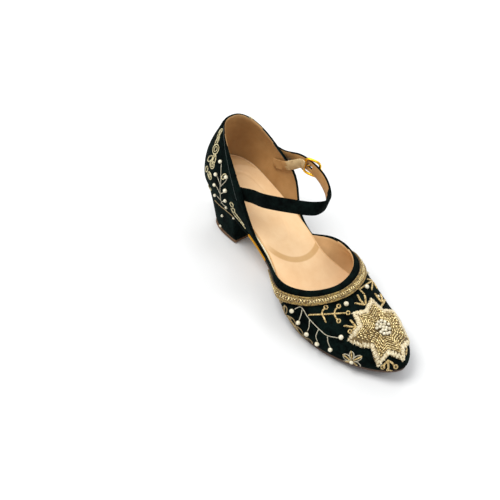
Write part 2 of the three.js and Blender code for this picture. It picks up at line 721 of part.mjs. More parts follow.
function starEmbroidery() {
  const rays = STAR_TIPS.length * 6;
  const walks = range(rays).map((k) => {
    const angle = STAR_TURN + (k / rays) * 2 * Math.PI;
    const heading = angle + starLean(k / rays);
    return { reach: starRadius(angle), line: walkOverVamp(STAR_CENTRE, heading, 1, 35) };
  });
  const centre = vampPoint(STAR_CENTRE.x, STAR_CENTRE.turn);
  const lifted = (p, lift) => {
    const { out } = vampAxes(p.x, turnToward(p));
    return p.clone().addScaledVector(out, lift);
  };
  const ring = (share, lift) =>
    walks.map(({ reach, line }) => {
      const r = reach * share;
      const k = Math.floor(r);
      const a = k < 1 ? centre : line[k - 1];
      return lifted(a.clone().lerp(line[k], r - k), lift);
    });
  const high = STAR_THICK + TRIM_GAP;
  const rings = [
    ...[0.16, 0.33, 0.5, 0.66, 0.83, 1].map((share) => ring(share, TRIM_GAP)),
    ring(0.99, high * 0.7), ring(0.94, high), ring(0.78, high), ring(0.6, high),
    ring(0.42, high + 0.3), ring(0.2, high + 0.6),
  ];
  const skin = new Skin();
  const close = (list) => [...list, list[0]];
  rings.slice(1).forEach((r, i) => skin.band(close(rings[i]), close(r)));
  const bottom = lifted(centre, TRIM_GAP);
  const top = lifted(centre, high + 0.7);
  const last = rings[rings.length - 1];
  range(rays).forEach((k) => {
    const next = (k + 1) % rays;
    skin.triangle(bottom, rings[0][next], rings[0][k]);
    skin.triangle(top, last[k], last[next]);
  });
  return skin.geometry();
}

// Strap: stitched inside the back part's inner side, over the instep, through the buckle and
// back along the outer side
const wallAway = GAP + STRAP_THICK / 2 + BINDING_RAISE + 0.2;

// Upward direction along the back part's wall, tipped forwards or back by lean
function alongWall(side, x, h, tip) {
  const up = backWall(side, x, h + 4).sub(backWall(side, x, h - 4)).normalize();
  const forward = backWall(side, x + 3, h).sub(backWall(side, x - 3, h)).normalize();
  return up.addScaledVector(forward, tip).normalize();
}

function strapPoints() {
  const hidden = WALL + GAP + STRAP_THICK / 2 + 0.4;
  const inside = STRAP_ROOT.map(({ x, h, tip, more }) => ({
    p: backWall("inner", x, h, hidden + more),
    u: alongWall("inner", x, h, tip),
  }));
  const middle = STRAP_PATH.map((r) => ({
    p: new THREE.Vector3(r.x, r.y, r.z),
    u: new THREE.Vector3(r.ux, r.uy, r.uz).normalize(),
  }));
  const tail = STRAP_TAIL.map(({ x, z, tip, more }) => ({
    p: backWall("outer", x, z - soleLine(x), -wallAway - more),
    u: alongWall("outer", x, z - soleLine(x), tip),
  }));
  return [...inside, ...middle, ...tail];
}

function strapFrames(count) {
  const rows = strapPoints();
  const line = new THREE.CatmullRomCurve3(rows.map((r) => r.p), false, "centripetal");
  const widths = new THREE.CatmullRomCurve3(rows.map((r) => r.u), false, "centripetal");
  return range(count + 1).map((k) => {
    const t = k / count;
    const along = line.getTangent(t);
    const up = widths.getPoint(t);
    up.addScaledVector(along, -up.dot(along)).normalize();
    return { p: line.getPoint(t), along, up, out: along.clone().cross(up) };
  });
}

function strap() {
  const half = STRAP_WIDTH / 2;
  const thick = STRAP_THICK / 2;
  const round = 0.6;
  const outline = [
    [-half, -thick + round], [-half + round, -thick], [half - round, -thick],
    [half, -thick + round], [half, thick - round], [half - round, thick],
    [-half + round, thick], [-half, thick - round],
  ];
  const sections = strapFrames(52).map((f) =>
    outline.map(([a, b]) => f.p.clone().addScaledVector(f.up, a).addScaledVector(f.out, b)),
  );
  return without(sweptSolid(sections), prongSlot());
}

// Place of the buckle on the strap, between the front corner of the back part and the instep
function buckleSeat() {
  const frames = strapFrames(240);
  const target = new THREE.Vector3(74, 39.2, 78.6);
  const best = frames.reduce((a, b) =>
    b.p.distanceTo(target) < a.p.distanceTo(target) ? b : a,
  );
  const outside = best.out.y > 0 ? best.out : best.out.clone().negate();
  return { ...best, outside };
}

const seat = buckleSeat();
const lift = STRAP_THICK / 2 + BUCKLE_ROD / 2 + GAP + 0.4;
function onBuckle(along, up, out) {
  return seat.p.clone()
    .addScaledVector(seat.along, along)
    .addScaledVector(seat.up, up)
    .addScaledVector(seat.outside, out);
}

// The frame tilts: its free side lies over the strap, and its bar under it
function frameTilt(along) {
  return lerp(lift, -lift, (along + BUCKLE_LONG / 2) / BUCKLE_LONG);
}

function roundRod(points, radius, sides, closed) {
  const curve = new THREE.CatmullRomCurve3(points, closed, "centripetal");
  const steps = points.length * 3;
  const circle = new THREE.Shape();
  circle.absarc(0, 0, radius, 0, Math.PI * 2, false);
  const frames = curve.computeFrenetFrames(steps, closed);
  const sections = range(closed ? steps : steps + 1).map((k) => {
    const p = curve.getPointAt(k / steps);
    return range(sides).map((s) => {
      const a = (s / sides) * Math.PI * 2;
      return p.clone()
        .addScaledVector(frames.normals[k], radius * Math.cos(a))
        .addScaledVector(frames.binormals[k], radius * Math.sin(a));
    });
  });
  return sweptSolid(sections, closed);
}

function buckleFrame() {
  const a = BUCKLE_LONG / 2;
  const b = BUCKLE_TALL / 2;
  const round = 3;
  const corners = [
    [-a, 0], [-a, b - round], [-a + 0.3 * round, b - 0.3 * round], [-a + round, b],
    [a - round, b], [a - 0.3 * round, b - 0.3 * round], [a, b - round], [a, 0],
    [a, -b + round], [a - 0.3 * round, -b + 0.3 * round], [a - round, -b],
    [-a + round, -b], [-a + 0.3 * round, -b + 0.3 * round], [-a, -b + round],
  ];
  const points = corners.map(([s, u]) => onBuckle(s, u, frameTilt(s)));
  return roundRod(points, BUCKLE_ROD / 2, 7, true);
}

// Prong: from the bar, out through a slot in the strap, to rest on the frame's free side
function buckleProng() {
  const a = BUCKLE_LONG / 2;
  const r = PRONG_ROD / 2;
  const over = lift + BUCKLE_ROD / 2 + GAP + r;
  const path = [
    [a - 2, -lift + 1.1], [a - 3.2, -0.6], [a - 4.6, 1], [a - 6.6, 2.3],
    [a - 9.5, 3.3], [-a + 1, over - 0.3], [-a - 1.6, over - 0.2],
  ];
  return roundRod(path.map(([s, out]) => onBuckle(s, 0, out)), r, 6, false);
}

function prongSlot() {
  const [long, wide, deep] = [6.2, 2.5, 8];
  const box = new THREE.BoxGeometry(long, wide, deep);
  box.deleteAttribute("uv");
  box.deleteAttribute("normal");
  const axes = new THREE.Matrix4().makeBasis(
    seat.along, seat.up, seat.along.clone().cross(seat.up),
  );
  axes.setPosition(onBuckle(BUCKLE_LONG / 2 - 4.4, 0, 0));
  return mergeVertices(box.applyMatrix4(axes), 1e-4);
}

function solidOf(geometry) {
  return new wasm.Manifold(
    new wasm.Mesh({
      numProp: 3,
      vertProperties: geometry.attributes.position.array,
      triVerts: new Uint32Array(geometry.index.array),
    }),
  );
}

function without(geometry, cutter) {
  const { vertProperties, triVerts } = solidOf(geometry).subtract(solidOf(cutter)).getMesh();
  const made = new THREE.BufferGeometry();
  made.setAttribute("position", new THREE.BufferAttribute(vertProperties, 3));
  made.setIndex(new THREE.BufferAttribute(triVerts, 1));
  return made;
}

// Elastic tab: sewn to the lining inside the outer wall, and looped on the buckle's bar
function buckleTab() {
  const hidden = WALL + GAP + TAB_THICK / 2 + 0.8;
  const under = BUCKLE_LONG / 2;
  const clear = BUCKLE_ROD / 2 + GAP + TAB_THICK / 2 + 0.1;
  const wallRow = (x, h, tip) => ({
    p: backWall("outer", x, h, hidden),
    u: alongWall("outer", x, h, tip),
  });
  const rows = [
    wallRow(42, 21.5, -0.4),
    wallRow(49, 26, -0.4),
    wallRow(55.5, 32, -0.35),
    { p: new THREE.Vector3(61, 31.3, 75), u: new THREE.Vector3(-0.25, 0.05, 1).normalize() },
    { p: onBuckle(under + 2.5, 0, -lift - 1.9), u: seat.up.clone() },
    { p: onBuckle(under - 1.5, 0, -lift - clear), u: seat.up.clone() },
  ];
  const line = new THREE.CatmullRomCurve3(rows.map((r) => r.p), false, "centripetal");
  const widths = new THREE.CatmullRomCurve3(rows.map((r) => r.u), false, "centripetal");
  const [half, thick] = [TAB_WIDTH / 2, TAB_THICK / 2];
  const corners = [[-half, -thick], [half, -thick], [half, thick], [-half, thick]];
  const sections = range(21).map((k) => {
    const t = k / 20;
    const along = line.getTangent(t);
    const up = widths.getPoint(t);
    up.addScaledVector(along, -up.dot(along)).normalize();
    const out = along.clone().cross(up);
    return corners.map(([a, b]) =>
      line.getPoint(t).addScaledVector(up, a).addScaledVector(out, b),
    );
  });
  return sweptSolid(sections);
}

const model = new THREE.Group();
model.position.x = -ORIGIN_X;
model.add(
  mesh("outsole", outsole(), 0x8a4f22, 0.6),
  mesh("heel", heel(), 0x0b1d1a, 0.9),
  mesh("heel_top_piece", topPiece(), 0x8a5a2c, 0.6),
  mesh("insole", insole(), 0xe8c79a, 0.7),
  mesh("insole_piping", insolePiping(), 0xd9c58a, 0.35, 0.7),
  mesh("upper", upper(), 0x0b1d1a, 0.9),
  mesh("vamp_braid", vampBraid(), 0xb79a5a, 0.4, 0.6),
  mesh("star_embroidery", starEmbroidery(), 0xcdb277, 0.4, 0.6),
  mesh("strap", strap(), 0x0b1d1a, 0.9),
  mesh("buckle_frame", buckleFrame(), 0xe0b030, 0.25, 1),
  mesh("buckle_prong", buckleProng(), 0xe0b030, 0.25, 1),
  mesh("buckle_tab", buckleTab(), 0xcdb89a, 0.8),
);

export default model;
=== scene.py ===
# %% [markdown]
# # A velvet block heel shoe with embroidery
# The shoe is the left one of a pair: a dark green velvet back part and vamp over a tan lining,
# a low covered heel, an ankle strap with a small gold buckle, and gold thread, beads and pearls.
# The CAD solids give every place and size. This file dresses them and adds the needlework.

# %% Load the CAD frame
import math
import random

import bmesh
import bpy
from mathutils import Matrix, Vector
from mathutils.bvhtree import BVHTree


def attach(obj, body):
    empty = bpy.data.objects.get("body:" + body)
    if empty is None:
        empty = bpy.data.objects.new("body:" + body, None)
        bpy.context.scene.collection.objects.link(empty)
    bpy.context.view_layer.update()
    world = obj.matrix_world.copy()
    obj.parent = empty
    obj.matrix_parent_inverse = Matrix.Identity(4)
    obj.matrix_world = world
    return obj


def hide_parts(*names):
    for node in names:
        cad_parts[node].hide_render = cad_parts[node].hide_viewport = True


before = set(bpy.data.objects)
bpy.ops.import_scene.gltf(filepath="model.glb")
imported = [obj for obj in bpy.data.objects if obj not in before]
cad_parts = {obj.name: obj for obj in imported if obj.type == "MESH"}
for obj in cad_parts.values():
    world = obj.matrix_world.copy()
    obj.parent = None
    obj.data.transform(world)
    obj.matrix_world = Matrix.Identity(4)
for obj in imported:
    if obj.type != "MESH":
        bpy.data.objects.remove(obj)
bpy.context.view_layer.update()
MM = 0.001
random.seed(7)

# %% [markdown]
# ## Camera, floor and light
# The photograph looks down on the shoe from beyond its toe, on the inner side of the foot.
# The camera could be moved by eye. Here its place, its roll and its focal length come from
# fitting the shoe's outline, so a pixel of the photograph gives a true ray in the scene.

# %% Place the camera
PHOTO = 500  # pixels on each side
SENSOR = 36.0
CAMERA_HEIGHT = math.radians(43.49)
CAMERA_SIDE = math.radians(52.69)
CAMERA_ROLL = math.radians(16.0)
CAMERA_REACH = 1216.98 * MM
FOCAL_PIXELS = 1399.9
CAMERA_TARGET = Vector((37.0, -8.39, 0.0)) * MM

level_right = Vector((math.sin(CAMERA_SIDE), math.cos(CAMERA_SIDE), 0))
to_camera = Vector((
    math.cos(CAMERA_HEIGHT) * math.cos(CAMERA_SIDE),
    -math.cos(CAMERA_HEIGHT) * math.sin(CAMERA_SIDE),
    math.sin(CAMERA_HEIGHT),
))
level_up = to_camera.cross(level_right)
view_right = level_right * math.cos(CAMERA_ROLL) + level_up * math.sin(CAMERA_ROLL)
view_up = level_up * math.cos(CAMERA_ROLL) - level_right * math.sin(CAMERA_ROLL)
camera_place = CAMERA_TARGET + to_camera * CAMERA_REACH

lens = bpy.data.cameras.new("photo_camera")
lens.sensor_width = SENSOR
lens.lens = FOCAL_PIXELS * SENSOR / PHOTO
camera = bpy.data.objects.new("photo_camera", lens)
bpy.context.scene.collection.objects.link(camera)
axes = Matrix((view_right, view_up, to_camera)).transposed().to_4x4()
camera.matrix_world = Matrix.Translation(camera_place) @ axes
bpy.context.scene.camera = camera
print("camera", [round(v, 3) for v in camera_place], "lens", round(lens.lens, 1))

# %% [markdown]
# The picture has a white ground and very soft shadows. A bright even sky gives the fill, and
# large area lights give the velvet and the metal something to catch. A small lamp would draw
# hard shadow edges that the photograph hasn't.

# %% Floor and lights
SHOE_MIDDLE = (0.09, 0.0, 0.03)
SKY = {"colour": (0.98, 0.99, 1.0), "strength": 0.6}
LIGHTS = {
    "key_light": {"place": (-0.35, -0.55, 1.15), "size": 0.8, "power": 14.5, "colour": (1.0, 0.99, 0.97)},
    "side_light": {"place": (0.95, 0.55, 0.8), "size": 0.7, "power": 3.5, "colour": (0.96, 0.98, 1.0)},
    "back_light": {"place": (-0.5, 0.7, 0.7), "size": 0.6, "power": 3, "colour": (1.0, 0.99, 0.97)},
}
FLOOR_SIZE = 8
FLOOR_Z = -0.4 * MM  # a hair under the sole, so that the two don't share a plane
FLOOR_COLOUR = (0.78, 0.785, 0.79)
FLOOR_ROUGHNESS = 0.85


def area_light(name, place, size, power, colour):
    """A round lamp of this size in metres, turned to the shoe's middle."""
    light = bpy.data.lights.new(name, "AREA")
    light.shape = "DISK"
    light.size = size
    light.energy = power
    light.color = colour
    stand = bpy.data.objects.new(name, light)
    bpy.context.scene.collection.objects.link(stand)
    away = Vector(place) - Vector(SHOE_MIDDLE)
    stand.matrix_world = Matrix.Translation(place) @ away.to_track_quat("Z", "Y").to_matrix().to_4x4()


def sky(colour, strength):
    world = bpy.data.worlds.new("studio")
    world.use_nodes = True
    ground = world.node_tree.nodes["Background"]
    ground.inputs["Color"].default_value = (*colour, 1)
    ground.inputs["Strength"].default_value = strength
    bpy.context.scene.world = world


def shader(name, colour, roughness, sockets=None):
    """A Principled material with its fixed values set on the shader itself."""
    material = bpy.data.materials.new(name)
    material.use_nodes = True
    surface = material.node_tree.nodes["Principled BSDF"]
    surface.inputs["Base Color"].default_value = (*colour, 1)
    surface.inputs["Roughness"].default_value = roughness
    for socket, value in (sockets or {}).items():
        surface.inputs[socket].default_value = value
    return material


sky(**SKY)
for lamp_name, lamp in LIGHTS.items():
    area_light(lamp_name, **lamp)
bpy.context.scene.view_settings.view_transform = "Standard"

bpy.ops.mesh.primitive_plane_add(size=FLOOR_SIZE, location=(0, 0, FLOOR_Z))
floor = bpy.context.object
floor.name = "floor"
floor.data.materials.append(shader("white_floor", FLOOR_COLOUR, FLOOR_ROUGHNESS))
print("floor at", round(floor.location.z / MM, 2), "mm,", len(LIGHTS), "lights")

# %% [markdown]
# ## Materials
# Each finish starts from one shader whose fixed numbers sit on its own sockets. Noise in
# metres of the shoe's own space gives the colour its drift and the surface its grain, so the
# pattern has one scale on every piece and doesn't slide between them.

# %% Material helpers
def add_node(material, kind, values):
    made = material.node_tree.nodes.new(kind)
    for socket, value in values.items():
        made.inputs[socket].default_value = value
    return made


def link(material, source, output, target, socket):
    material.node_tree.links.new(source.outputs[output], target.inputs[socket])


def surface_of(material):
    return material.node_tree.nodes["Principled BSDF"]


def placed(material, stretch=(1, 1, 1), turn=(0, 0, 0)):
    """Object coordinates, stretched and turned."""
    place = add_node(material, "ShaderNodeTexCoord", {})
    mapping = add_node(material, "ShaderNodeMapping", {"Scale": stretch, "Rotation": turn})
    link(material, place, "Object", mapping, "Vector")
    return mapping


def noise(material, scale, detail=4.0, roughness=0.55):
    """Noise over Object coordinates. The scale counts features to the metre."""
    values = {"Scale": scale, "Detail": detail, "Roughness": roughness}
    made = add_node(material, "ShaderNodeTexNoise", values)
    link(material, placed(material), "Vector", made, "Vector")
    return made


def drift(material, source, tones, ends=(0.35, 0.65)):
    """The colour moves between two tones with a texture."""
    ramp = add_node(material, "ShaderNodeValToRGB", {})
    for element, tone, end in zip(ramp.color_ramp.elements, tones, ends):
        element.position = end
        element.color = (*tone, 1)
    link(material, source, 0, ramp, "Fac")
    link(material, ramp, "Color", surface_of(material), "Base Color")


def relief(material, source, depth, strength=1.0, under=None):
    """A bump of this depth in metres, laid over an earlier one if it is given."""
    bump = add_node(material, "ShaderNodeBump", {"Strength": strength, "Distance": depth})
    link(material, source, 0, bump, "Height")
    if under is not None:
        link(material, under, "Normal", bump, "Normal")
    link(material, bump, "Normal", surface_of(material), "Normal")
    return bump


def roughness_from(material, source, low, high):
    """The roughness moves between two values with a texture."""
    spread = add_node(material, "ShaderNodeMapRange", {"To Min": low, "To Max": high})
    link(material, source, 0, spread, "Value")
    link(material, spread, "Result", surface_of(material), "Roughness")


print("material helpers ready")

# %% [markdown]
# Velvet is short pile that stands on its backing. It is almost black where you look along the
# pile and shows a soft dark green where the light grazes it. The shader's sheen gives the
# edge light, slow noise gives the brushed patches, and fine noise gives the pile itself.

# %% Velvet
def velvet_finish(name, tones, tint, sheen):
    """The pile's tones from dark to lit, then the colour and the weight of its edge light."""
    fixed = {
        "Sheen Weight": sheen,
        "Sheen Roughness": 0.38,
        "Sheen Tint": (*tint, 1),
        "Specular IOR Level": 0.045,
    }
    material = shader(name, tones[0], 0.95, fixed)
    brushed = noise(material, 90, detail=8.0, roughness=0.86)
    drift(material, brushed, tones, ends=(0.42, 0.62))
    relief(material, noise(material, 2400, detail=2.0), depth=0.0003, strength=0.8)
    return material


VELVET = velvet_finish(
    "velvet", ((0.0003, 0.0008, 0.0008), (0.0032, 0.0095, 0.008)), tint=(0.2, 0.5, 0.44), sheen=0.025,
)
BINDING = velvet_finish(
    "velvet_binding", ((0.0003, 0.0006, 0.0006), (0.0026, 0.0066, 0.0056)), tint=(0.2, 0.45, 0.4), sheen=0.02,
)
print(VELVET.name, BINDING.name)

# %% [markdown]
# The lining, the insole and the sole are leather or a leather-like sheet. Leather has cells a
# few tenths of a millimetre wide with creases between them, which a Voronoi texture's edge
# distance gives, and a slow change of colour where it is handled and pressed.

# %% Leathers
LINING_GRAIN = {"roughness": 0.55, "cells": 1500, "depth": 0.00008}
SEAT_GRAIN = {"roughness": 0.5, "cells": 1300, "depth": 0.00006}
SOLE_GRAIN = {"roughness": 0.5, "cells": 1100, "depth": 0.0001}
RUBBER_GRAIN = {"roughness": 0.6, "cells": 900, "depth": 0.00012}
DULL = {"Specular IOR Level": 0.15}


def leather_finish(name, tones, roughness, cells, depth, fixed=None):
    """Cells count the grain to the metre, and depth is how far it stands up, in metres."""
    material = shader(name, tones[0], roughness, fixed)
    drift(material, noise(material, 60, detail=5.0, roughness=0.6), tones, ends=(0.3, 0.7))
    grain = add_node(material, "ShaderNodeTexVoronoi", {"Scale": cells, "Randomness": 1.0})
    grain.feature = "DISTANCE_TO_EDGE"
    link(material, placed(material), "Vector", grain, "Vector")
    raised = relief(material, grain, depth, strength=0.6)
    relief(material, noise(material, 420), depth * 1.5, strength=0.4, under=raised)
    roughness_from(material, noise(material, 150, detail=3.0), roughness - 0.08, roughness + 0.1)
    return material


LINING = leather_finish("tan_lining", ((0.33, 0.165, 0.05), (0.44, 0.245, 0.09)), **LINING_GRAIN)
# one tan leather: this lighter copy is painted light for the vamp's inside, where the lamps reach in
LIT_LINING = leather_finish("lining_painted_light", ((0.52, 0.3, 0.125), (0.66, 0.41, 0.19)), **LINING_GRAIN)
SEAT = leather_finish("seat_leather", ((0.75, 0.48, 0.23), (0.84, 0.57, 0.29)), **SEAT_GRAIN)
INSOLE = leather_finish("insole_leather", ((0.80, 0.52, 0.27), (0.88, 0.62, 0.355)), **SEAT_GRAIN)
SOLE = leather_finish("sole_leather", ((0.045, 0.02, 0.009), (0.09, 0.04, 0.016)), **SOLE_GRAIN)
WAIST = leather_finish(
    "waist_edge_leather", ((0.5, 0.21, 0.008), (0.68, 0.33, 0.02)), **SOLE_GRAIN, fixed=DULL,
)
TOP_PIECE = leather_finish("top_piece_rubber", ((0.08, 0.04, 0.015), (0.16, 0.08, 0.03)), **RUBBER_GRAIN)
for leather in (LINING, LIT_LINING, SEAT, INSOLE, SOLE, WAIST, TOP_PIECE):
    print(leather.name)

# %% [markdown]
# Gold shows in four ways here: rolled foil on the piping, twisted metal thread in the braid and
# the sprigs, paler silk-like thread in the star's border, and plated metal on the buckle. Only
# the plate is fully metallic. Thread breaks up the light, so it is rougher and paler.

# %% Gold, beads and elastic
def thread_finish(name, tones, metallic, roughness, twist=1500):
    """Twist counts the strands that cross a metre of the thread."""
    fixed = {"Metallic": metallic, "Sheen Weight": 0.15, "Sheen Roughness": 0.4}
    material = shader(name, tones[0], roughness, fixed)
    drift(material, noise(material, 800, detail=3.0), tones, ends=(0.36, 0.64))
    strands = add_node(material, "ShaderNodeTexWave", {"Scale": twist, "Distortion": 2.0, "Detail": 1.0})
    askew = placed(material, stretch=(1, 0.8, 0.9), turn=(0.5, 0.3, 0.6))
    link(material, askew, "Vector", strands, "Vector")
    relief(material, strands, depth=0.00012, strength=0.5)
    return material


def metal_finish(name, tones, roughness):
    material = shader(name, tones[0], roughness, {"Metallic": 1.0, "Coat Weight": 0.15})
    drift(material, noise(material, 220, detail=3.0), tones, ends=(0.35, 0.65))
    relief(material, noise(material, 1800, detail=3.0), depth=0.00002, strength=0.3)
    roughness_from(material, noise(material, 700), roughness - 0.06, roughness + 0.1)
    return material


def glass_finish(name, tones, roughness, metallic=0.0):
    fixed = {"Metallic": metallic, "Coat Weight": 0.8, "Coat Roughness": 0.08}
    material = shader(name, tones[0], roughness, fixed)
    drift(material, noise(material, 520, detail=1.0), tones, ends=(0.36, 0.6))
    relief(material, noise(material, 1500, detail=2.0), depth=0.00002, strength=0.3)
    return material


def elastic_finish():
    """Fine ribs of covered rubber thread, in the lining's tan."""
    material = shader("beige_elastic", (0.55, 0.38, 0.18), 0.75)
    ribs = add_node(material, "ShaderNodeTexWave", {"Scale": 320, "Distortion": 0.6, "Detail": 1.0})
    ribs.bands_direction = "Z"
    link(material, placed(material, stretch=(0.2, 0.2, 1)), "Vector", ribs, "Vector")
    drift(material, ribs, ((0.42, 0.28, 0.12), (0.6, 0.44, 0.23)), ends=(0.2, 0.8))
    relief(material, ribs, depth=0.0002, strength=0.6)
    return material


PIPING = thread_finish("gold_piping", ((0.8, 0.72, 0.42), (1.0, 0.96, 0.76)), 0.05, 0.35, twist=900)
BRAID_GROUND = thread_finish("braid_ground", ((0.045, 0.022, 0.008), (0.13, 0.075, 0.025)), 0.2, 0.6)
BRAID_THREAD = thread_finish("gold_braid", ((0.06, 0.032, 0.006), (0.5, 0.34, 0.1)), 0.3, 0.42)
STAR_THREAD = thread_finish("cream_gold_thread", ((0.56, 0.42, 0.2), (1.0, 0.92, 0.68)), 0.05, 0.5)
STAR_GROUND = thread_finish("star_ground", ((0.05, 0.03, 0.007), (0.2, 0.125, 0.03)), 0.1, 0.6)
# the sprig thread's tones vary at random along the gold, and their bright end is also a painted highlight
SPRIG_THREAD = thread_finish("antique_gold_thread", ((0.2, 0.115, 0.025), (0.95, 0.72, 0.32)), 0.3, 0.4)
VINE_THREAD = thread_finish("brown_gold_thread", ((0.2, 0.13, 0.05), (0.5, 0.37, 0.18)), 0.3, 0.5)
BACK_THREAD = thread_finish("pale_gold_thread", ((0.22, 0.17, 0.06), (0.92, 0.82, 0.5)), 0.2, 0.42)
PALE_THREAD = thread_finish("pale_thread", ((0.36, 0.31, 0.21), (0.66, 0.61, 0.47)), 0.1, 0.5)
SEAM_THREAD = thread_finish("dark_seam_thread", ((0.02, 0.03, 0.028), (0.05, 0.065, 0.06)), 0.0, 0.6)
BUCKLE_GOLD = metal_finish("buckle_gold", ((0.83, 0.42, 0.012), (0.95, 0.55, 0.03)), 0.3)
# the beads' tones vary at random as real glass does, and their bright end is also a painted glint
BEAD_GOLD = glass_finish("gold_beads", ((0.26, 0.145, 0.022), (1.0, 0.82, 0.4)), 0.22, metallic=0.5)
PEARL = glass_finish("pearls", ((0.58, 0.51, 0.34), (0.82, 0.76, 0.58)), 0.3)
ELASTIC = elastic_finish()
print(len(bpy.data.materials), "finishes with the floor")

# %% [markdown]
# ## Dressing the solids
# Each form was settled in CAD, so it isn't modelled a second time. A copy of the solid is
# welded, its triangles are paired into four-sided faces, its hard edges are creased, and a
# subdivision surface rounds the facets away. The copy then stands for the solid.

# %% Dressed copies
WELD = 2e-6
PAIRING = math.radians(60)
SUBDIVISIONS = 1
SMOOTH_UNDER = math.radians(45)  # faces that meet at less than this shade as one


def only(piece):
    """Selects just this object, and makes it the active one."""
    bpy.ops.object.select_all(action="DESELECT")
    piece.select_set(True)
    bpy.context.view_layer.objects.active = piece


def dressed(name, solid, finish, hard=38, crease=0.85):
    """A rounded copy of a solid. Edges sharper than hard, in degrees, are held by a crease."""
    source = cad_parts[solid]
    piece = bpy.data.objects.new(name, source.data.copy())
    bpy.context.scene.collection.objects.link(piece)
    piece.data.materials.clear()
    piece.data.materials.append(finish)
    only(piece)
    bpy.ops.object.mode_set(mode="EDIT")
    bpy.ops.mesh.select_all(action="SELECT")
    bpy.ops.mesh.remove_doubles(threshold=WELD)
    bpy.ops.mesh.tris_convert_to_quads(face_threshold=PAIRING, shape_threshold=PAIRING)
    bpy.ops.mesh.select_mode(type="EDGE")
    bpy.ops.mesh.select_all(action="DESELECT")
    bpy.ops.mesh.edges_select_sharp(sharpness=math.radians(hard))
    bpy.ops.transform.edge_crease(value=crease)
    bpy.ops.object.mode_set(mode="OBJECT")
    rounding = piece.modifiers.new("rounding", "SUBSURF")
    rounding.levels = SUBDIVISIONS
    rounding.render_levels = SUBDIVISIONS
    bpy.ops.object.modifier_apply(modifier=rounding.name)
    bpy.ops.object.shade_smooth_by_angle(angle=SMOOTH_UNDER)
    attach(piece, "root")
    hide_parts(solid)
    print(name, len(piece.data.polygons), "faces")
    return piece


def fatten(piece, by):
    """Swells a piece along its normals, in mm."""
    only(piece)
    bpy.ops.object.mode_set(mode="EDIT")
    bpy.ops.mesh.select_all(action="SELECT")
    bpy.ops.transform.shrink_fatten(value=by * MM)
    bpy.ops.object.mode_set(mode="OBJECT")


def repaint(piece, finish, chosen):
    """Gives the faces that the test chooses another finish."""
    piece.data.materials.append(finish)
    index = len(piece.data.materials) - 1
    count = 0
    for face in piece.data.polygons:
        if chosen(face.center, face.normal):
            face.material_index = index
            count += 1
    print(piece.name, count, "faces in", finish.name)


# %% [markdown]
# The upper is one shell: velvet outside, tan lining inside, and a folded binding round its top.
# The inside is told from the outside by asking which way a face looks, seen from a line that
# runs through the middle of the foot. The vamp's inside gets a lighter tone of the same lining:
# painted light where the lamps reach into the front of the shoe.

# %% Upper, sole, heel and trim
BACK_MIDDLE_X = 4 * MM
FORE_MIDDLE_X = 150 * MM
FOOT_MIDDLE_Y = 2 * MM
FOOT_MIDDLE_Z = 14 * MM
VAMP_FROM_X = 66 * MM
WAIST_FROM_X = 43 * MM
WAIST_TO_X = 67 * MM
LOOKS_IN = {"vamp": -0.25, "back": -0.6}  # faces that look outwards less than this are inside
PIPING_SWELL = 0.3
PIPING_OUTWARD = 0.4  # on the outer side only faces that look outwards more than this are gold


def away_from_foot(place):
    """From the middle of the foot towards this place."""
    middle = Vector(place)
    middle.x = min(max(place.x, BACK_MIDDLE_X), FORE_MIDDLE_X)
    middle.y = FOOT_MIDDLE_Y
    if place.x > VAMP_FROM_X:
        middle.z = FOOT_MIDDLE_Z
    return (place - middle).normalized()


def inside_of_upper(place, normal):
    part = "vamp" if place.x > VAMP_FROM_X else "back"
    return normal.dot(away_from_foot(place)) < LOOKS_IN[part]


# the lining faces of the vamp, which get the painted light tone
def vamp_inside_painted_light(place, normal):
    return place.x > VAMP_FROM_X and inside_of_upper(place, normal)


upper = dressed("velvet_upper", "upper", VELVET)
repaint(upper, LINING, inside_of_upper)
# painted light: the vamp's inside takes the lighter copy of the lining
repaint(upper, LIT_LINING, vamp_inside_painted_light)
outsole = dressed("leather_outsole", "outsole", SOLE)
repaint(outsole, WAIST, lambda place, normal: WAIST_FROM_X < place.x < WAIST_TO_X)
repaint(outsole, BINDING, lambda place, normal: place.x <= WAIST_FROM_X)
heel = dressed("covered_heel", "heel", VELVET)
dressed("heel_wearing_piece", "heel_top_piece", TOP_PIECE, crease=0.9)
insole = dressed("insole_base", "insole", SEAT)
piping = dressed("gold_edge_piping", "insole_piping", PIPING, crease=0.0)
fatten(piping, PIPING_SWELL)
repaint(piping, SEAT, lambda place, normal: place.y > 0 and normal.y < PIPING_OUTWARD)
dressed("braid_ground", "vamp_braid", BRAID_GROUND)
star = dressed("star_ground", "star_embroidery", STAR_GROUND)

# %% [markdown]
# A soft cover lies on the insole. It stops short of the seat's back, where a darker rim of the
# insole shows, it has a long oval pressed into it, and a darker band crosses it behind the
# ball. The band is flat colour, so the material draws it as part of a circle. The cover's edge
# and the pressed oval are shape, so the cover is a fine grid dropped onto the insole.

# %% Insole cover
COVER_FROM, COVER_TO = -17.0, 189.0
COVER_ROUND = {"x": 8.5, "radius": 25.5}  # the cover's back edge is part of this circle
COVER_THICK = 0.7
COVER_DEPTH = COVER_THICK * 0.8  # its own thickness, which leaves a gap over the insole
COVER_MARGIN = 0.5
COVER_LEAST = 0.3  # half width where the circle closes
COVER_STEPS = {"along": 150, "across": 44}
COVER_SMOOTH = math.radians(40)
OVAL_ENDS = (-9.0, 62.0)
OVAL_WIDE = (13.5, 8.0)  # half widths near the heel and at the waist
OVAL_MIDDLE = (0.5, 4.0)
OVAL_POWERS = {"long": 3.2, "wide": 2.4, "joined": 2.6}
OVAL_SCALE = 1.2
GROOVE = {"deep": 0.45, "wide": 0.9}
BAND = {"x": 50.0, "y": 13.0, "radius": 31.3, "half": 2.3, "soft": 0.5, "from": 56, "to": 68}
BAND_TINT = (0.76, 0.68, 0.52)
ABOVE_INSOLE = 90
EDGE_WITHIN = 46.0
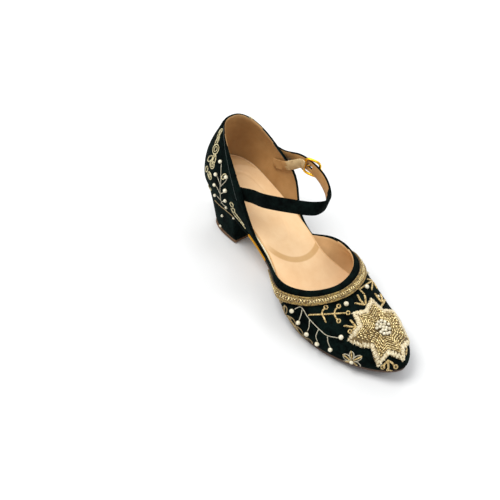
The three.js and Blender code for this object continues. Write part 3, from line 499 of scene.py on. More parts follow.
EDGE_HALVINGS = 14


def cloth_tree(pieces):
    """A search tree of the faces in each piece's first finish."""
    corners, faces = [], []
    for piece in pieces:
        start = len(corners)
        corners += [vertex.co.copy() for vertex in piece.data.vertices]
        faces += [
            [start + i for i in face.vertices]
            for face in piece.data.polygons if face.material_index == 0
        ]
    return BVHTree.FromPolygons(corners, faces)


INSOLE_TREE = cloth_tree([insole])


def insole_top(x, y):
    found, _, _, _ = INSOLE_TREE.ray_cast(Vector((x, y, ABOVE_INSOLE)) * MM, Vector((0, 0, -1)))
    return found.z / MM if found else None


def insole_edge(x, side):
    """How far out the insole's top reaches at this place, in mm."""
    low, high = 0.0, EDGE_WITHIN
    for _ in range(EDGE_HALVINGS):
        middle = (low + high) / 2
        if insole_top(x, side * middle) is None:
            high = middle
        else:
            low = middle
    return low


def cover_edges(x):
    """Inner and outer edge of the cover at this place along the shoe, in mm."""
    back = COVER_ROUND["radius"] ** 2 - (x - COVER_ROUND["x"]) ** 2
    limit = math.sqrt(max(back, 0)) if x < COVER_ROUND["x"] else math.inf
    return [
        side * max(min(insole_edge(x, side) - COVER_MARGIN, limit), COVER_LEAST) for side in (-1, 1)
    ]


def oval_distance(x, y):
    """Distance from the pressed oval's line, in mm, near enough for a groove."""
    share = min(max((x - OVAL_ENDS[0]) / (OVAL_ENDS[1] - OVAL_ENDS[0]), 0), 1)
    half_long = (OVAL_ENDS[1] - OVAL_ENDS[0]) / 2
    u = (x - sum(OVAL_ENDS) / 2) / half_long
    middle = OVAL_MIDDLE[0] + (OVAL_MIDDLE[1] - OVAL_MIDDLE[0]) * share
    half = OVAL_WIDE[0] + (OVAL_WIDE[1] - OVAL_WIDE[0]) * share
    v = (y - middle) / half
    reach = (abs(u) ** OVAL_POWERS["long"] + abs(v) ** OVAL_POWERS["wide"]) ** (1 / OVAL_POWERS["joined"])
    return abs(reach - 1) * half * OVAL_SCALE


def operation_node(material, kind, operation, values=None):
    made = add_node(material, kind, values or {})
    made.operation = operation
    return made


def band_on(material):
    """The darker band: a ring of Object coordinates, kept in front of the heel."""
    half, soft = BAND["half"] * MM, BAND["soft"] * MM
    middle = (-BAND["x"] * MM, -BAND["y"] * MM, 0)
    start, end = BAND["from"] * MM, BAND["to"] * MM
    place = add_node(material, "ShaderNodeTexCoord", {})
    ring = add_node(material, "ShaderNodeMapping", {"Location": middle, "Scale": (1, 1, 0)})
    reach = operation_node(material, "ShaderNodeVectorMath", "LENGTH")
    off = operation_node(material, "ShaderNodeMath", "SUBTRACT", {1: BAND["radius"] * MM})
    size = operation_node(material, "ShaderNodeMath", "ABSOLUTE")
    edge = add_node(material, "ShaderNodeMapRange", {"From Min": half + soft, "From Max": half - soft})
    split = add_node(material, "ShaderNodeSeparateXYZ", {})
    ahead = add_node(material, "ShaderNodeMapRange", {"From Min": start, "From Max": end})
    both = operation_node(material, "ShaderNodeMath", "MULTIPLY")
    ramp = surface_of(material).inputs["Base Color"].links[0].from_node
    mix = material.node_tree.nodes.new("ShaderNodeMix")
    mix.data_type = "RGBA"
    mix.blend_type = "MULTIPLY"
    # a colour mix has its factor at socket 0, its colours at 6 and 7 and its result at 2
    mix.inputs[7].default_value = (*BAND_TINT, 1)
    for source, output, target, socket in (
        (place, "Object", ring, "Vector"), (ring, "Vector", reach, 0),
        (reach, "Value", off, 0), (off, 0, size, 0), (size, 0, edge, "Value"),
        (place, "Object", split, 0), (split, "X", ahead, "Value"),
        (edge, "Result", both, 0), (ahead, "Result", both, 1),
        (both, 0, mix, 0), (ramp, "Color", mix, 6), (mix, 2, surface_of(material), "Base Color"),
    ):
        link(material, source, output, target, socket)


def insole_cover():
    bpy.ops.object.select_all(action="DESELECT")
    bpy.ops.mesh.primitive_grid_add(
        x_subdivisions=COVER_STEPS["along"], y_subdivisions=COVER_STEPS["across"], size=2,
    )
    cover = bpy.context.object
    cover.name = "insole_cover"
    edges = {}
    for vertex in cover.data.vertices:
        u, v = (vertex.co.x + 1) / 2, vertex.co.y
        x = COVER_FROM + (COVER_TO - COVER_FROM) * (1 - math.cos(math.pi * u)) / 2
        key = round(x, 4)
        if key not in edges:
            edges[key] = cover_edges(x)
        low, high = edges[key]
        y = (low + high) / 2 + v * (high - low) / 2
        press = GROOVE["deep"] * math.exp(-((oval_distance(x, y) / GROOVE["wide"]) ** 2))
        top = insole_top(x, y) or 0
        vertex.co = Vector((x, y, top + COVER_THICK - press)) * MM
    only(cover)
    thick = cover.modifiers.new("thickness", "SOLIDIFY")
    thick.thickness = COVER_DEPTH * MM
    thick.offset = -1
    bpy.ops.object.modifier_apply(modifier=thick.name)
    bpy.ops.object.shade_smooth_by_angle(angle=COVER_SMOOTH)
    cover.data.materials.append(INSOLE)
    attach(cover, "root")
    print("insole cover", len(cover.data.polygons), "faces")


band_on(INSOLE)
insole_cover()

# %% [markdown]
# The strap is velvet outside with a tan inner face, and the buckle is a plated rod. The buckle's
# rod, prong and elastic tab keep the solids' shapes, because the strap and the tab are threaded
# through them with a few tenths of a millimetre to spare.

# %% Strap and buckle
STRAP_MIDDLE = Vector((0, 0, 52)) * MM
STRAP_LOOKS_IN = -0.5
ROD_HARD = 80  # degrees, so that the rods stay round
BUCKLE_SWELL = 0.15
TAB_COVERED_X = 21 * MM  # behind this the lining covers the tab


def inside_of_strap(place, normal):
    middle = Vector((place.x, STRAP_MIDDLE.y, STRAP_MIDDLE.z))
    return normal.dot((place - middle).normalized()) < STRAP_LOOKS_IN


strap = dressed("ankle_strap", "strap", BINDING)
repaint(strap, LINING, inside_of_strap)
buckle = dressed("buckle_rod", "buckle_frame", BUCKLE_GOLD, hard=ROD_HARD)
dressed("buckle_pin", "buckle_prong", BUCKLE_GOLD, hard=ROD_HARD)
fatten(buckle, BUCKLE_SWELL)
tab = dressed("elastic_tab", "buckle_tab", ELASTIC)
repaint(tab, LINING, lambda place, normal: place.x < TAB_COVERED_X)

# %% [markdown]
# ## Where the needle goes
# All the needlework lies on the velvet, so the first tool is a way to find the cloth. The
# velvet faces of the upper and the heel go into a search tree. A stitch can be drawn through
# a pixel of the photograph onto the cloth, or laid from a point near it, and both give the
# place and the direction that the cloth faces. Drawing by pixel keeps the design where the
# photograph has it, and the tree keeps every stitch on the shoe from all other sides too.

# %% Find the cloth
CLOTH = cloth_tree([upper, heel])
NEAR_SIDE = 60 * MM  # how much nearer than the camera's target a ray that misses is stopped
TOE_MIDDLE = {"from": 60 * MM, "over": 50 * MM, "by": 5.0 * MM}
TOE_PIXEL = (383, 332)


def nearest_cloth(place):
    found, normal, _, _ = CLOTH.find_nearest(place)
    return found, normal


def through_photo(x, y):
    """The cloth behind one pixel of the photograph."""
    half = PHOTO / 2
    ray = view_right * (x - half) + view_up * (half - y) - to_camera * FOCAL_PIXELS
    ray.normalize()
    found, normal, _, _ = CLOTH.ray_cast(camera_place, ray)
    if found is None:
        return nearest_cloth(camera_place + ray * (CAMERA_REACH - NEAR_SIDE))
    return found, normal


def other_side(place, drop=0.0):
    """The same place across the middle line of the shoe, and lower by a drop in mm."""
    share = min(max((place.x - TOE_MIDDLE["from"]) / TOE_MIDDLE["over"], 0), 1)
    return Vector((place.x, 2 * share * TOE_MIDDLE["by"] - place.y, place.z - drop * MM))


print("cloth found at the toe", [round(v / MM, 1) for v in through_photo(*TOE_PIXEL)[0]])

# %% [markdown]
# A thread goes down as a trail: a smooth curve through a few drawn points, cut into even steps
# and pressed to the cloth. Each stitch, bead and pearl is then one small shape, modelled once
# at unit size and copied with its own turn and size.

# %% Trails and stitch frames
def smooth_curve(points, pieces=8):
    """A curve through every point, with this many pieces between two points."""
    ends = [points[0] * 2 - points[1], *points, points[-1] * 2 - points[-2]]
    curve = []
    for a, b, c, d in zip(ends, ends[1:], ends[2:], ends[3:]):
        for k in range(pieces):
            t = k / pieces
            curve.append(
                (b * 2 + (c - a) * t + (a * 2 - b * 5 + c * 4 - d) * t**2
                 + (b * 3 - a - c * 3 + d) * t**3) / 2
            )
    return [*curve, points[-1]]


def even_steps(curve, step):
    """The curve again at even steps. A step divides its length a whole number of times."""
    reach = [0.0]
    for a, b in zip(curve, curve[1:]):
        reach.append(reach[-1] + (b - a).length)
    count = max(round(reach[-1] / step), 1)
    steps, k = [], 0
    for i in range(count + 1):
        wanted = reach[-1] * i / count
        while k < len(reach) - 2 and reach[k + 1] < wanted:
            k += 1
        share = (wanted - reach[k]) / max(reach[k + 1] - reach[k], 1e-9)
        steps.append(curve[k].lerp(curve[k + 1], min(share, 1)))
    return steps


def trail(points, step, mirrored=False, drop=0.0):
    """Spots on the cloth along a curve: place, outward direction and the way the thread runs."""
    flat = [other_side(p, drop) for p in points] if mirrored else points
    steps = even_steps(smooth_curve(flat), step)
    spots = []
    for i, step_place in enumerate(steps):
        run = steps[min(i + 1, len(steps) - 1)] - steps[max(i - 1, 0)]
        spots.append((*nearest_cloth(step_place), run.normalized()))
    return spots


def seated(spot, size, lift=0.0, turn=0.0):
    """A place for one unit shape: size in mm, lifted off the cloth and turned on it."""
    place, normal, run = spot
    along = (run - normal * run.dot(normal)).normalized()
    axes = Matrix((along, normal.cross(along), normal)).transposed().to_4x4()
    scale = Matrix.Diagonal((*[s * MM for s in size], 1))
    turned = axes @ Matrix.Rotation(turn, 4, "Z")
    return Matrix.Translation(place + normal * lift * MM) @ turned @ scale


print("trail helpers ready")

# %% [markdown]
# There are four unit shapes: a pearl, a stitch, a cut glass tube and a square bead. Thousands
# of copies are laid, so each has only the faces that it needs to catch the light. A texture of
# beads would be lighter still, but it would look flat from this near.

# %% Unit shapes
LONG_IN_X = (0, math.pi / 2, 0)


def unit_piece(add, **settings):
    """A new primitive, alone in the selection, with its turn kept in its mesh."""
    bpy.ops.object.select_all(action="DESELECT")
    add(**settings)
    bpy.ops.object.transform_apply(rotation=True)
    return bpy.context.object


def pick(piece, kind, chosen):
    """Selects the corners or the faces that the test chooses, in edit mode."""
    bpy.ops.object.mode_set(mode="EDIT")
    bpy.ops.mesh.select_mode(type=kind)
    bpy.ops.mesh.select_all(action="DESELECT")
    bpy.ops.object.mode_set(mode="OBJECT")
    for part in piece.data.vertices if kind == "VERT" else piece.data.polygons:
        part.select = chosen(part)
    bpy.ops.object.mode_set(mode="EDIT")


def kept_shape(name):
    """Leaves edit mode and keeps the mesh without its object."""
    bpy.ops.object.mode_set(mode="OBJECT")
    shape = bpy.context.object
    mesh = shape.data
    mesh.name = name
    for face in mesh.polygons:
        face.use_smooth = True
    bpy.data.objects.remove(shape)
    print(name, len(mesh.polygons), "faces")
    return mesh


def pearl_shape():
    """A ball with its underside pressed flat where it sits."""
    ball = unit_piece(bpy.ops.mesh.primitive_uv_sphere_add, segments=10, ring_count=7, radius=1)
    pick(ball, "VERT", lambda corner: corner.co.z < -0.5)
    bpy.ops.transform.resize(value=(1, 1, 0.5), center_override=(0, 0, 0))
    return kept_shape("pearl_shape")


def stitch_shape():
    """A short length of thread that dives into the cloth at both ends."""
    ball = unit_piece(
        bpy.ops.mesh.primitive_uv_sphere_add, segments=6, ring_count=5, radius=1, rotation=LONG_IN_X,
    )
    pick(ball, "VERT", lambda corner: abs(corner.co.x) > 0.7)
    bpy.ops.transform.translate(value=(0, 0, -0.35))
    return kept_shape("stitch_shape")


def tube_bead_shape():
    """A cut glass tube with softened ends, long in x."""
    tube = unit_piece(
        bpy.ops.mesh.primitive_cylinder_add, vertices=7, radius=1, depth=2, rotation=LONG_IN_X,
    )
    pick(tube, "FACE", lambda face: abs(face.normal.x) > 0.9)
    bpy.ops.mesh.inset(thickness=0.28, depth=0.12)
    return kept_shape("tube_bead_shape")


def square_bead_shape():
    cube = unit_piece(bpy.ops.mesh.primitive_cube_add, size=2)
    pick(cube, "FACE", lambda face: True)
    bpy.ops.mesh.bevel(offset=0.4, segments=1, affect="EDGES")
    return kept_shape("square_bead_shape")


PEARL_SHAPE = pearl_shape()
STITCH_SHAPE = stitch_shape()
TUBE_BEAD_SHAPE = tube_bead_shape()
SQUARE_BEAD_SHAPE = square_bead_shape()

# %% [markdown]
# Hundreds of copies become one piece in one pass: each place's matrix is applied to a copy of
# the unit shape's mesh, and the copies are gathered. Linked objects would be lighter, but the
# finished piece must be one mesh with its place in it.

# %% Sew copies into one piece
SLANT = math.radians(34)
STITCH = {"long": 0.85, "wide": 0.42, "high": 0.5, "lift": 0.3}  # shares of the cord's thickness
PEARL_LIFT = 0.8  # share of the pearl's radius


def sewn(name, parts, finish):
    """One piece from a list of unit shapes, each with its matrix."""
    gathered = bmesh.new()
    for shape, matrix in parts:
        copy = shape.copy()
        copy.transform(matrix)
        gathered.from_mesh(copy)
        bpy.data.meshes.remove(copy)
    mesh = bpy.data.meshes.new(name)
    gathered.to_mesh(mesh)
    gathered.free()
    mesh.materials.append(finish)
    piece = bpy.data.objects.new(name, mesh)
    bpy.context.scene.collection.objects.link(piece)
    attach(piece, "root")
    print(name, len(parts), "shapes,", len(mesh.polygons), "faces")


def rope(spots, thick, lift=0.0, slant=SLANT):
    """A couched twisted thread: short stitches, each slanted over the line."""
    size = [thick * STITCH[way] for way in ("long", "wide", "high")]
    return [(STITCH_SHAPE, seated(spot, size, lift + thick * STITCH["lift"], slant)) for spot in spots]


def pearl_at(spot, radius):
    return (PEARL_SHAPE, seated(spot, (radius, radius, radius), radius * PEARL_LIFT))


print("sewing helpers ready")

# %% [markdown]
# ## The braid
# A woven gold braid follows the vamp's opening: a rolled cord on each edge, a finer thread
# inside each, and a chain of small square beads down the middle. A bump texture would look
# flat beside the pearls, so the cords and the chain are stitched over the solid as shapes.

# %% Braid
# the solid's middle line on the velvet, from the inner end to the outer end, in mm
BRAID_LINE = [
    (79.2, -26.7, 20), (87.2, -32.7, 22.6), (95.5, -38, 23.5), (102.3, -40.9, 24.5),
    (107.8, -41.5, 26), (112.8, -40.5, 27.3), (117.4, -38.2, 28.3), (121.7, -35.2, 29),
    (125.6, -31.6, 29.7), (128.7, -27.6, 30.5), (131.2, -23.4, 31.2), (133.2, -19, 31.8),
    (134.8, -14.6, 32.3), (136.1, -10.1, 32.6), (136.9, -5.4, 32.8), (137.3, 0.1, 32.8),
    (136.9, 6.1, 32.8), (136.1, 11.1, 32.6), (134.8, 15.8, 32.3), (133.2, 20.4, 31.8),
    (131.3, 24.9, 31.2), (128.9, 29.3, 30.4), (125.9, 33.6, 29.6), (122.1, 37.6, 28.9),
    (117.7, 41.3, 28.2), (112.9, 44, 27.2), (107.7, 45.5, 26), (102, 45.2, 24.7),
    (95.3, 43.1, 23.6), (87.2, 39.4, 22.5), (78.9, 35.1, 20.2),
]
BRAID_TOP = 1.75  # of the solid braid, above the velvet, in mm
CORDS = [
    {"offset": -3.1, "thick": 1.2, "slant": SLANT}, {"offset": 3.1, "thick": 1.2, "slant": -SLANT},
    {"offset": -2.1, "thick": 0.9, "slant": -SLANT}, {"offset": 2.1, "thick": 0.9, "slant": SLANT},
]
CORD_STEP = 0.6  # share of the cord's thickness
CORD_SINK = 0.25
CHAIN = {"step": 2.5, "size": (0.72, 0.75, 0.6), "lift": 0.3}
TUBE_ROW = {"offset": 1.15, "step": 1.9, "half": (0.4, 0.75), "wide": 0.42, "high": 0.5, "lift": 0.15}


def beside(spots, offset):
    """The same trail moved sideways over the cloth, in mm."""
    moved = []
    for place, normal, run in spots:
        found, out = nearest_cloth(place + normal.cross(run) * offset * MM)
        moved.append((found, out, run))
    return moved


def braid_pieces():
    line = [Vector(p) * MM for p in BRAID_LINE]
    cords = []
    for cord in CORDS:
        thick = cord["thick"]
        spots = beside(trail(line, thick * CORD_STEP * MM), cord["offset"])
        cords += rope(spots, thick, BRAID_TOP - CORD_SINK, cord["slant"])
    sewn("braid_cords", cords, BRAID_THREAD)
    beads = [
        (SQUARE_BEAD_SHAPE, seated(spot, CHAIN["size"], BRAID_TOP + CHAIN["lift"]))
        for spot in trail(line, CHAIN["step"] * MM)[1:-1]
    ]
    for side in (-1, 1):
        row = beside(trail(line, TUBE_ROW["step"] * MM), side * TUBE_ROW["offset"])
        for spot in row[1:-1]:
            size = (random.uniform(*TUBE_ROW["half"]), TUBE_ROW["wide"], TUBE_ROW["high"])
            beads.append((TUBE_BEAD_SHAPE, seated(spot, size, BRAID_TOP + TUBE_ROW["lift"])))
    sewn("braid_bead_chain", beads, BEAD_GOLD)


braid_pieces()

# %% [markdown]
# ## The star
# The star is a raised patch on the curved toe. Its stitches and beads follow its outline, so
# they are easiest to plan flat. The flat drawing is carried onto the toe triangle by triangle,
# from the centre to each point and notch of the solid, and then dropped onto the patch.

# %% Star drawing
# corners of the solid on the velvet, from the toe round by the outer side, in mm
STAR_CENTRE = Vector((180, 4.1, 27.2)) * MM
STAR_TIPS = [
    (210.0, 2.3, 18.8), (198.3, 21.1, 18.6), (167.7, 33.0, 20.5), (150.5, 19.8, 28.3),
    (154.8, -6.8, 29.2), (171.0, -25.6, 22.5), (200.5, -16.5, 14.9),
]
STAR_NOTCHES = [
    (202.9, 8.6, 21.9), (183.2, 27.2, 20.8), (165.0, 21.4, 25.9), (157.8, 5.1, 28.9),
    (166.4, -11.2, 27.6), (188.1, -15.2, 23.3), (200.2, -6.5, 22.2),
]
TIP_REACH = 31.0
NOTCH_REACH = 22.7
HALF_SECTOR = math.pi / len(STAR_TIPS)
STAR_CORNERS = [Vector(corner) * MM for pair in zip(STAR_TIPS, STAR_NOTCHES) for corner in pair]
PATCH = cloth_tree([star])
PATCH_ABOVE = 6 * MM  # the patch is looked for from this far over the velvet
PATCH_SEARCH = 7 * MM
RUN_STEP = 0.8  # flat distance that gives the run of a stitch on the patch


def flat_corner(k):
    """Corner k of the flat star: even ones are points, odd ones notches."""
    reach = TIP_REACH if k % 2 == 0 else NOTCH_REACH
    return Vector((math.cos(k * HALF_SECTOR), math.sin(k * HALF_SECTOR))) * reach


def on_patch(flat):
    """The place on the patch for a place in the flat drawing, in mm, with the outward direction."""
    angle = math.atan2(flat.y, flat.x) % (2 * math.pi)
    k = int(angle / HALF_SECTOR) % len(STAR_CORNERS)
    a, b = flat_corner(k), flat_corner(k + 1)
    area = a.x * b.y - a.y * b.x
    along_a = (flat.x * b.y - flat.y * b.x) / area
    along_b = (a.x * flat.y - a.y * flat.x) / area
    near_a = STAR_CORNERS[k] - STAR_CENTRE
    near_b = STAR_CORNERS[(k + 1) % len(STAR_CORNERS)] - STAR_CENTRE
    place, out = nearest_cloth(STAR_CENTRE + near_a * along_a + near_b * along_b)
    top, _, _, _ = PATCH.ray_cast(place + out * PATCH_ABOVE, -out, PATCH_SEARCH)
    return (top if top is not None else place), out


def patch_spot(flat, direction):
    place, out = on_patch(flat)
    ahead, _ = on_patch(flat + direction * RUN_STEP)
    return place, out, (ahead - place).normalized()


def edges_of_star(share):
    for k in range(len(STAR_CORNERS)):
        yield k, flat_corner(k) * share, flat_corner(k + 1) * share


print("star corners", len(STAR_CORNERS))

# %% [markdown]
# The border is satin stitch: long threads side by side, square to the edge, short at the points
# and fanned round the notches. A sewer's stitches are never quite even, so their lengths and
# outer ends vary a little. Separate stitches give the ragged edge that one solid rim couldn't.

# %% Star border
BORDER = {"long": 4.3, "step": 0.85, "start": 0.9, "slope": 0.72}
BORDER_VARIES = (0.8, 1.15)
BORDER_RAGGED = (-0.3, 0.9)
BORDER_STITCH = {"half": 0.56, "wide": 0.46, "high": 0.6, "lift": 0.15}
BULGES = {10: 1.9}  # an edge that swells outwards on the patch, in mm
NOTCH_FAN = {"stitches": 5, "angle": 22}


def inward_of(a, b):
    run = (b - a).normalized()
    across = Vector((-run.y, run.x))
    return run, across if across.dot(-a) > 0 else -across


def border_stitch(outer, inward, length):
    spot = patch_spot(outer + inward * length / 2, inward)
    size = (length * BORDER_STITCH["half"], BORDER_STITCH["wide"], BORDER_STITCH["high"])
    return (STITCH_SHAPE, seated(spot, size, BORDER_STITCH["lift"]))


def star_border():
    stitches = []
    for k, a, b in edges_of_star(1.0):
        run, inward = inward_of(a, b)
        span = (b - a).length
        for i in range(int(span / BORDER["step"]) + 1):
            reach = i * BORDER["step"]
            to_tip = reach if k % 2 == 0 else span - reach
            length = min(BORDER["long"], BORDER["start"] + to_tip * BORDER["slope"])
            length *= random.uniform(*BORDER_VARIES)
            swell = BULGES.get(k, 0) * math.sin(math.pi * min(reach / span, 1))
            outer = a + run * reach - inward * (swell + random.uniform(*BORDER_RAGGED))
            stitches.append(border_stitch(outer, inward, length))
    for k in range(1, len(STAR_CORNERS), 2):
        notch = flat_corner(k)
        for i in range(NOTCH_FAN["stitches"]):
            share = i / (NOTCH_FAN["stitches"] - 1)
            turn = math.radians(NOTCH_FAN["angle"] * (2 * share - 1))
            inward = Matrix.Rotation(turn, 2) @ -notch.normalized()
            stitches.append(border_stitch(notch, inward, BORDER["long"]))
    sewn("star_satin_border", stitches, STAR_THREAD)


star_border()

# %% [markdown]
# Inside the border, cut glass tubes lie end to end in rows that repeat the star's outline. Each
# is shifted and turned by a hair, because even rows would look machine made. The middle is
# a cluster of pearls in rings, which stand higher than the tubes.

# %% Star beads and pearls
BEAD_ROWS = (0.755, 0.67, 0.585, 0.5, 0.415, 0.335)  # sizes of the outlines, as shares of the star
TUBE = {"long": 2.5, "half": 0.42, "wide": 0.56, "high": 0.6, "lift": 0.4, "shift": 0.18, "turn": 0.12}
PEARL_RINGS = ((0.0, 1), (3.1, 6), (6.1, 11))  # radius in mm and number of pearls
PEARL_RUN = Vector((1, 0.1))
CLUSTER_PEARL = 1.5


def star_beads():
    beads = []
    for share in BEAD_ROWS:
        for _, a, b in edges_of_star(share):
            run, inward = inward_of(a, b)
            span = (b - a).length
            count = max(round(span / TUBE["long"]), 1)
            for i in range(count):
                middle = a + run * span * (i + 0.5) / count
                middle += inward * random.uniform(-TUBE["shift"], TUBE["shift"])
                heading = Matrix.Rotation(random.uniform(-TUBE["turn"], TUBE["turn"]), 2) @ run
                size = (span / count * TUBE["half"], TUBE["wide"], TUBE["high"])
                beads.append((TUBE_BEAD_SHAPE, seated(patch_spot(middle, heading), size, TUBE["lift"])))
    sewn("star_tube_beads", beads, BEAD_GOLD)


def star_pearls():
    cluster = []
    for radius, count in PEARL_RINGS:
        for i in range(count):
            angle = i / count * 2 * math.pi + radius
            flat = Vector((math.cos(angle), math.sin(angle))) * max(radius, 0.01)
            cluster.append(pearl_at(patch_spot(flat, PEARL_RUN), CLUSTER_PEARL))
    sewn("star_pearl_cluster", cluster, PEARL)


star_beads()
star_pearls()

# %% [markdown]
# ## Sprays, sprigs, the vine and the flower
# The rest of the design is drawn over the photograph, as pixels in one table for each
# motif. A drawing in pixels can be set against the photograph at once, where places on the
# curved velvet could not.

# %% Drawn trails
SPRAY_STEMS = [
    [(295, 309), (300, 306.9), (303.5, 310), (307, 316), (312, 322), (320, 330), (327, 335.5), (338, 338)],
    [(302, 310), (301, 315), (299.2, 320)],
    [(309.5, 320), (309, 327), (307.5, 331)],
    [(318.5, 329.5), (316, 336), (317.4, 341)],
    [(327.5, 337), (328, 342), (330, 347)],
]
BACK_SPRAY_STEMS = [
    [(221.5, 203), (220.5, 195), (220.2, 188), (221, 180), (221.5, 164)],
    [(220.5, 185), (218, 178), (217, 176)],
    [(221, 186), (225, 182), (227, 179)],
    [(220.4, 194), (217.5, 188), (216, 186)],
    [(220.5, 194), (224, 192), (226, 190)],
    [(220.8, 200), (217.5, 196.5), (216, 195)],
    [(221.2, 202), (224, 200.8), (226, 200)],
    [(222, 203), (224.5, 205.5), (226.6, 206.6)],
]
# pixel and radius of each pearl
SPRAY_PEARLS = [
    (292.5, 311, 2.2), (298.8, 322.5, 2.1), (307.5, 333.5, 2.2), (318, 342.8, 2.2),
    (331, 348.8, 2.1), (341, 338, 2.4), (352, 361, 1.9),
]
LONE_PEARLS = [
    (345.5, 305, 2.4), (365.6, 288, 2.3), (377.6, 297, 1.3),
    (223.1, 215.1, 1.4), (221.4, 225.2, 1.4), (234.2, 217.4, 1.2),
]
BACK_SPRAY_PEARLS = [
    (221.3, 161.5, 1.9), (216.9, 174, 1.9), (227.1, 176.8, 2.0), (215.7, 184.3, 1.8),
    (226.4, 190, 2.1), (215.9, 194.8, 1.6), (226.4, 200, 1.8), (227.2, 206.9, 1.5),
]
SPRIG_STEMS = [
    [(309, 315), (320, 314.6), (332, 314), (345, 313.2)],
    [(322, 314.5), (322.5, 311), (324.6, 308.6)],
    [(322, 314.5), (324, 318), (325.5, 322)],
    [(334, 313.8), (335.3, 310), (337.3, 307.6)],
    [(334, 314), (336, 318), (337.6, 320)],
]
OUTER_SPRIG = [
    [(365.2, 271.8), (369.2, 276.4), (371.4, 282.0), (371.4, 289.6)],
    [(371.2, 280.4), (374.0, 284.0), (376.6, 288.4)],
    [(371.0, 281.0), (369.4, 280.0), (367.2, 279.4)],
    [(371.0, 276.6), (372.8, 278.6), (374.4, 281.0)],
]
SPRIG_RINGS = [(348, 313), (325.8, 307.4), (338.6, 306.3), (338.6, 321)]
STAR_SPRIGS = [
    [(357, 327.5), (353.5, 324), (351, 320.8)],
    [(357, 327.5), (350.5, 327), (344.8, 326)],
    [(357, 327.5), (353, 330), (351.3, 331)],
    [(388, 361), (385, 363.5), (383.2, 366.3)],
    [(388, 361), (388.3, 366), (388, 369.5)],
    [(388, 361), (391.5, 362.5), (394.2, 365.6)],
    [(364.5, 305), (360, 304.4), (355.5, 303.4)],
    [(362.8, 303.4), (359.8, 300), (357.8, 296)],
    [(365.4, 303.4), (365.3, 300), (364.6, 296.4)],
    [(380.5, 301.5), (377.6, 298), (375.4, 294.6)],
    [(382, 301), (381.4, 298), (380.6, 295)],
    [(382, 302), (384.5, 300.6), (386.4, 299)],
    [(404.4, 344.6), (406, 349), (405.6, 354)],
]
STAR_SPRIG_RINGS = [(350, 331.6), (395.6, 366.6), (388, 371), (382.8, 367)]
# base, tip and half width of each almond, in pixels
LOOPS = [
    ((281.0, 302.5), (281.9, 295.5), 2.3), ((284.5, 314.5), (285.0, 306.0), 2.4),
    ((295.5, 326.0), (288.8, 317.0), 2.4), ((303.0, 336.0), (296.0, 327.0), 2.4),
    ((312.5, 344.0), (304.5, 338.2), 2.2), ((291.0, 320.5), (285.8, 315.5), 1.6),
    ((298.0, 331.5), (293.5, 325.5), 1.6), ((306.5, 340.5), (301.0, 335.5), 1.6),
]
PETALS = [
    ((350.6, 360.0), (343.6, 354.6), 2.4), ((352.0, 359.2), (351.4, 351.8), 2.3),
    ((353.6, 360.2), (361.5, 356.6), 2.4), ((353.4, 362.0), (360.4, 367.2), 2.3),
    ((350.8, 361.6), (343.4, 362.6), 2.0),
]
# centre pixel, then length, width and turn from upright of each loop, in mm and degrees
BACK_LOOPS = [
    (219.6, 133.4, 9.0, 3.2, 12), (217.4, 141.0, 8.0, 3.0, 8),
    (215.8, 149.2, 8.6, 7.4, 0), (215.8, 149.2, 4.4, 3.6, 0),
    (210.2, 158.6, 9.0, 4.0, -28), (214.2, 159.0, 9.0, 4.0, 20), (212.2, 164.8, 7.0, 6.0, 0),
    (212.2, 164.8, 3.4, 2.8, 0), (206.9, 169.0, 7.5, 3.8, -22),
    (209.8, 175.6, 7.0, 6.4, 0), (209.8, 175.6, 3.4, 2.8, 0),
    (206.6, 181.4, 6.4, 3.2, -18), (209.9, 187.6, 6.0, 5.2, 0),
    (231.9, 204.6, 4.6, 4.0, 0), (233.6, 210.2, 6.0, 3.4, -10),
]
BACK_STEMS = [
    [(220.8, 130.4), (219, 137), (217.3, 143.6)],
    [(215.6, 154.4), (213.6, 158.6), (212.6, 162)],
    [(231.4, 208.6), (233.6, 213.4), (237.6, 218.4), (242.2, 223.6), (245.4, 228.2)],
    [(234.4, 211.6), (237.2, 215.2), (240.8, 220.0), (244.0, 224.6)],
]
SEAM_LINE = [(215.2, 200.4), (220.5, 205.8), (226.8, 211.0), (234.0, 218.0), (242.6, 227.6)]
BINDING_SEAM = [(223.6, 126), (223.9, 138), (225.6, 152), (228.4, 167), (232.2, 183), (236.6, 200)]
print(len(SPRAY_STEMS), "stems", len(SPRAY_PEARLS), "pearls", len(LOOPS) + len(PETALS), "loops")

# %% [markdown]
# The shoe's two sides carry the same design, so most trails are laid once where they were drawn
# and once across the middle line. What sits at the toe or the middle of the back is laid only
# where it was drawn. The table of motifs says how thick each thread is, and of what finish.

# %% Lay the trails
BOTH_SIDES = (False, True)
DRAWN_SIDE = (False,)
OUTER_DROP = 4.5  # the outer side's spray sits lower, out of the photograph's sight
OUTLINE_TURN = 0.3  # cloth that faces this far off the camera makes the photograph's outline
ROPE_STEP = 0.55  # share of the thread's thickness
PEARL_SCALE = 0.92  # mm to a unit of the tables' radius
BACK_LOOP = {"step": 0.55 * MM, "thick": 0.8}
LARGE_LOOPS = 5  # the small loops after these have no heart


def drawn(pixels):
    return [through_photo(x, y)[0] for x, y in pixels]


def loop_pixels(base, tip, half_width, corners=12):
    """An almond shape round a line from base to tip, in pixels."""
    run = Vector(tip) - Vector(base)
    across = Vector((-run.y, run.x)).normalized() * half_width
    middle = (Vector(base) + Vector(tip)) / 2
    around = []
    for k in range(corners + 1):
        turn = 2 * math.pi * k / corners
        around.append(middle - run * 0.5 * math.cos(turn) + across * math.sin(turn))
    return [tuple(p) for p in around]


def ring_pixels(x, y, radius=1.75, corners=8):
    turns = [2 * math.pi * k / corners for k in range(corners + 1)]
    return [(x + radius * math.cos(t), y + radius * math.sin(t)) for t in turns]


def rings(centres):
    return [ring_pixels(x, y) for x, y in centres]


def almonds(rows):
    return [loop_pixels(*row) for row in rows]


def hearts(rows):
    return [[base, tip] for base, tip, _ in rows]


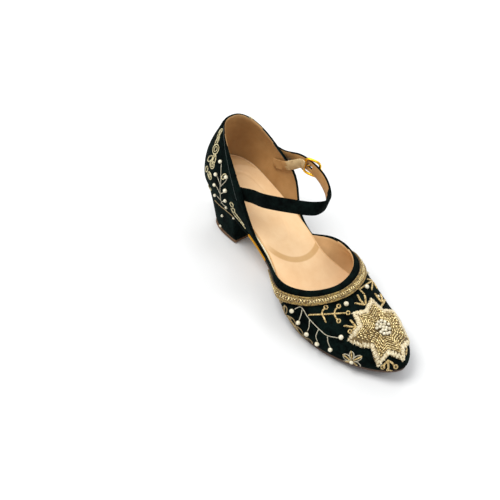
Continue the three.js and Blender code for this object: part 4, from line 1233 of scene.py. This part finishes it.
def lay_ropes(name, drawings, thick, finish, sides=BOTH_SIDES, step=ROPE_STEP, drop=0.0):
    stitches = []
    for pixels in drawings:
        points = drawn(pixels)
        for mirrored in sides:
            stitches += rope(trail(points, thick * step * MM, mirrored, drop), thick)
    sewn(name, stitches, finish)


def lay_pearls(name, pearls, drop=0.0, sides=BOTH_SIDES):
    beads = []
    for x, y, radius in pearls:
        place = through_photo(x, y)[0]
        for mirrored in sides:
            found, out = nearest_cloth(other_side(place, drop) if mirrored else place)
            if mirrored and abs(out.dot(to_camera)) < OUTLINE_TURN:
                continue
            beads.append(pearl_at((found, out, out.orthogonal()), radius * PEARL_SCALE))
    sewn(name, beads, PEARL)


def loop_on_cloth(x, y, long, wide, turn, corners=14):
    """A loop of true size on the cloth, its length upright when the turn is 0."""
    place, out = through_photo(x, y)
    upright = (Vector((0, 0, 1)) - out * out.z).normalized()
    sideways = out.cross(upright)
    lean = math.radians(turn)
    ahead = upright * math.cos(lean) + sideways * math.sin(lean)
    aside = sideways * math.cos(lean) - upright * math.sin(lean)
    turns = [2 * math.pi * k / corners for k in range(corners + 1)]
    return [
        place + ahead * (math.cos(t) * long / 2 * MM) + aside * (math.sin(t) * wide / 2 * MM)
        for t in turns
    ]


def lay_back_loops():
    stitches = []
    for loop in BACK_LOOPS:
        points = loop_on_cloth(*loop)
        past_middle = sum(point.y for point in points) > 0
        for mirrored in DRAWN_SIDE if past_middle else BOTH_SIDES:
            stitches += rope(trail(points, BACK_LOOP["step"], mirrored), BACK_LOOP["thick"])
    sewn("back_loops", stitches, BACK_THREAD)


lay_ropes("spray_stems", SPRAY_STEMS, 0.65, PALE_THREAD, drop=OUTER_DROP)
lay_ropes("back_spray_stems", BACK_SPRAY_STEMS, 0.6, PALE_THREAD)
lay_ropes("gold_sprigs", SPRIG_STEMS + OUTER_SPRIG, 1.3, SPRIG_THREAD, DRAWN_SIDE)
lay_ropes("sprig_rings", rings(SPRIG_RINGS), 1.0, SPRIG_THREAD, DRAWN_SIDE)
lay_ropes("star_sprigs", STAR_SPRIGS, 1.6, SPRIG_THREAD, DRAWN_SIDE, step=0.5)
lay_ropes("star_sprig_rings", rings(STAR_SPRIG_RINGS), 1.1, SPRIG_THREAD, DRAWN_SIDE)
lay_ropes("vine_loops", almonds(LOOPS), 0.8, VINE_THREAD)
lay_ropes("vine_hearts", hearts(LOOPS[:LARGE_LOOPS]), 1.3, VINE_THREAD)
lay_ropes("flower_petals", almonds(PETALS), 0.75, PALE_THREAD, drop=OUTER_DROP)
lay_ropes("flower_hearts", hearts(PETALS), 1.2, SPRIG_THREAD, drop=OUTER_DROP)
lay_ropes("bottom_seam_cord", [SEAM_LINE], 0.7, VINE_THREAD)
lay_ropes("binding_seam", [BINDING_SEAM], 0.5, SEAM_THREAD, step=1.6)
lay_back_loops()
lay_ropes("back_stems", BACK_STEMS, 0.8, BACK_THREAD)
lay_pearls("spray_pearls", SPRAY_PEARLS, OUTER_DROP)
lay_pearls("back_spray_pearls", BACK_SPRAY_PEARLS)
lay_pearls("lone_pearls", LONE_PEARLS, sides=DRAWN_SIDE)
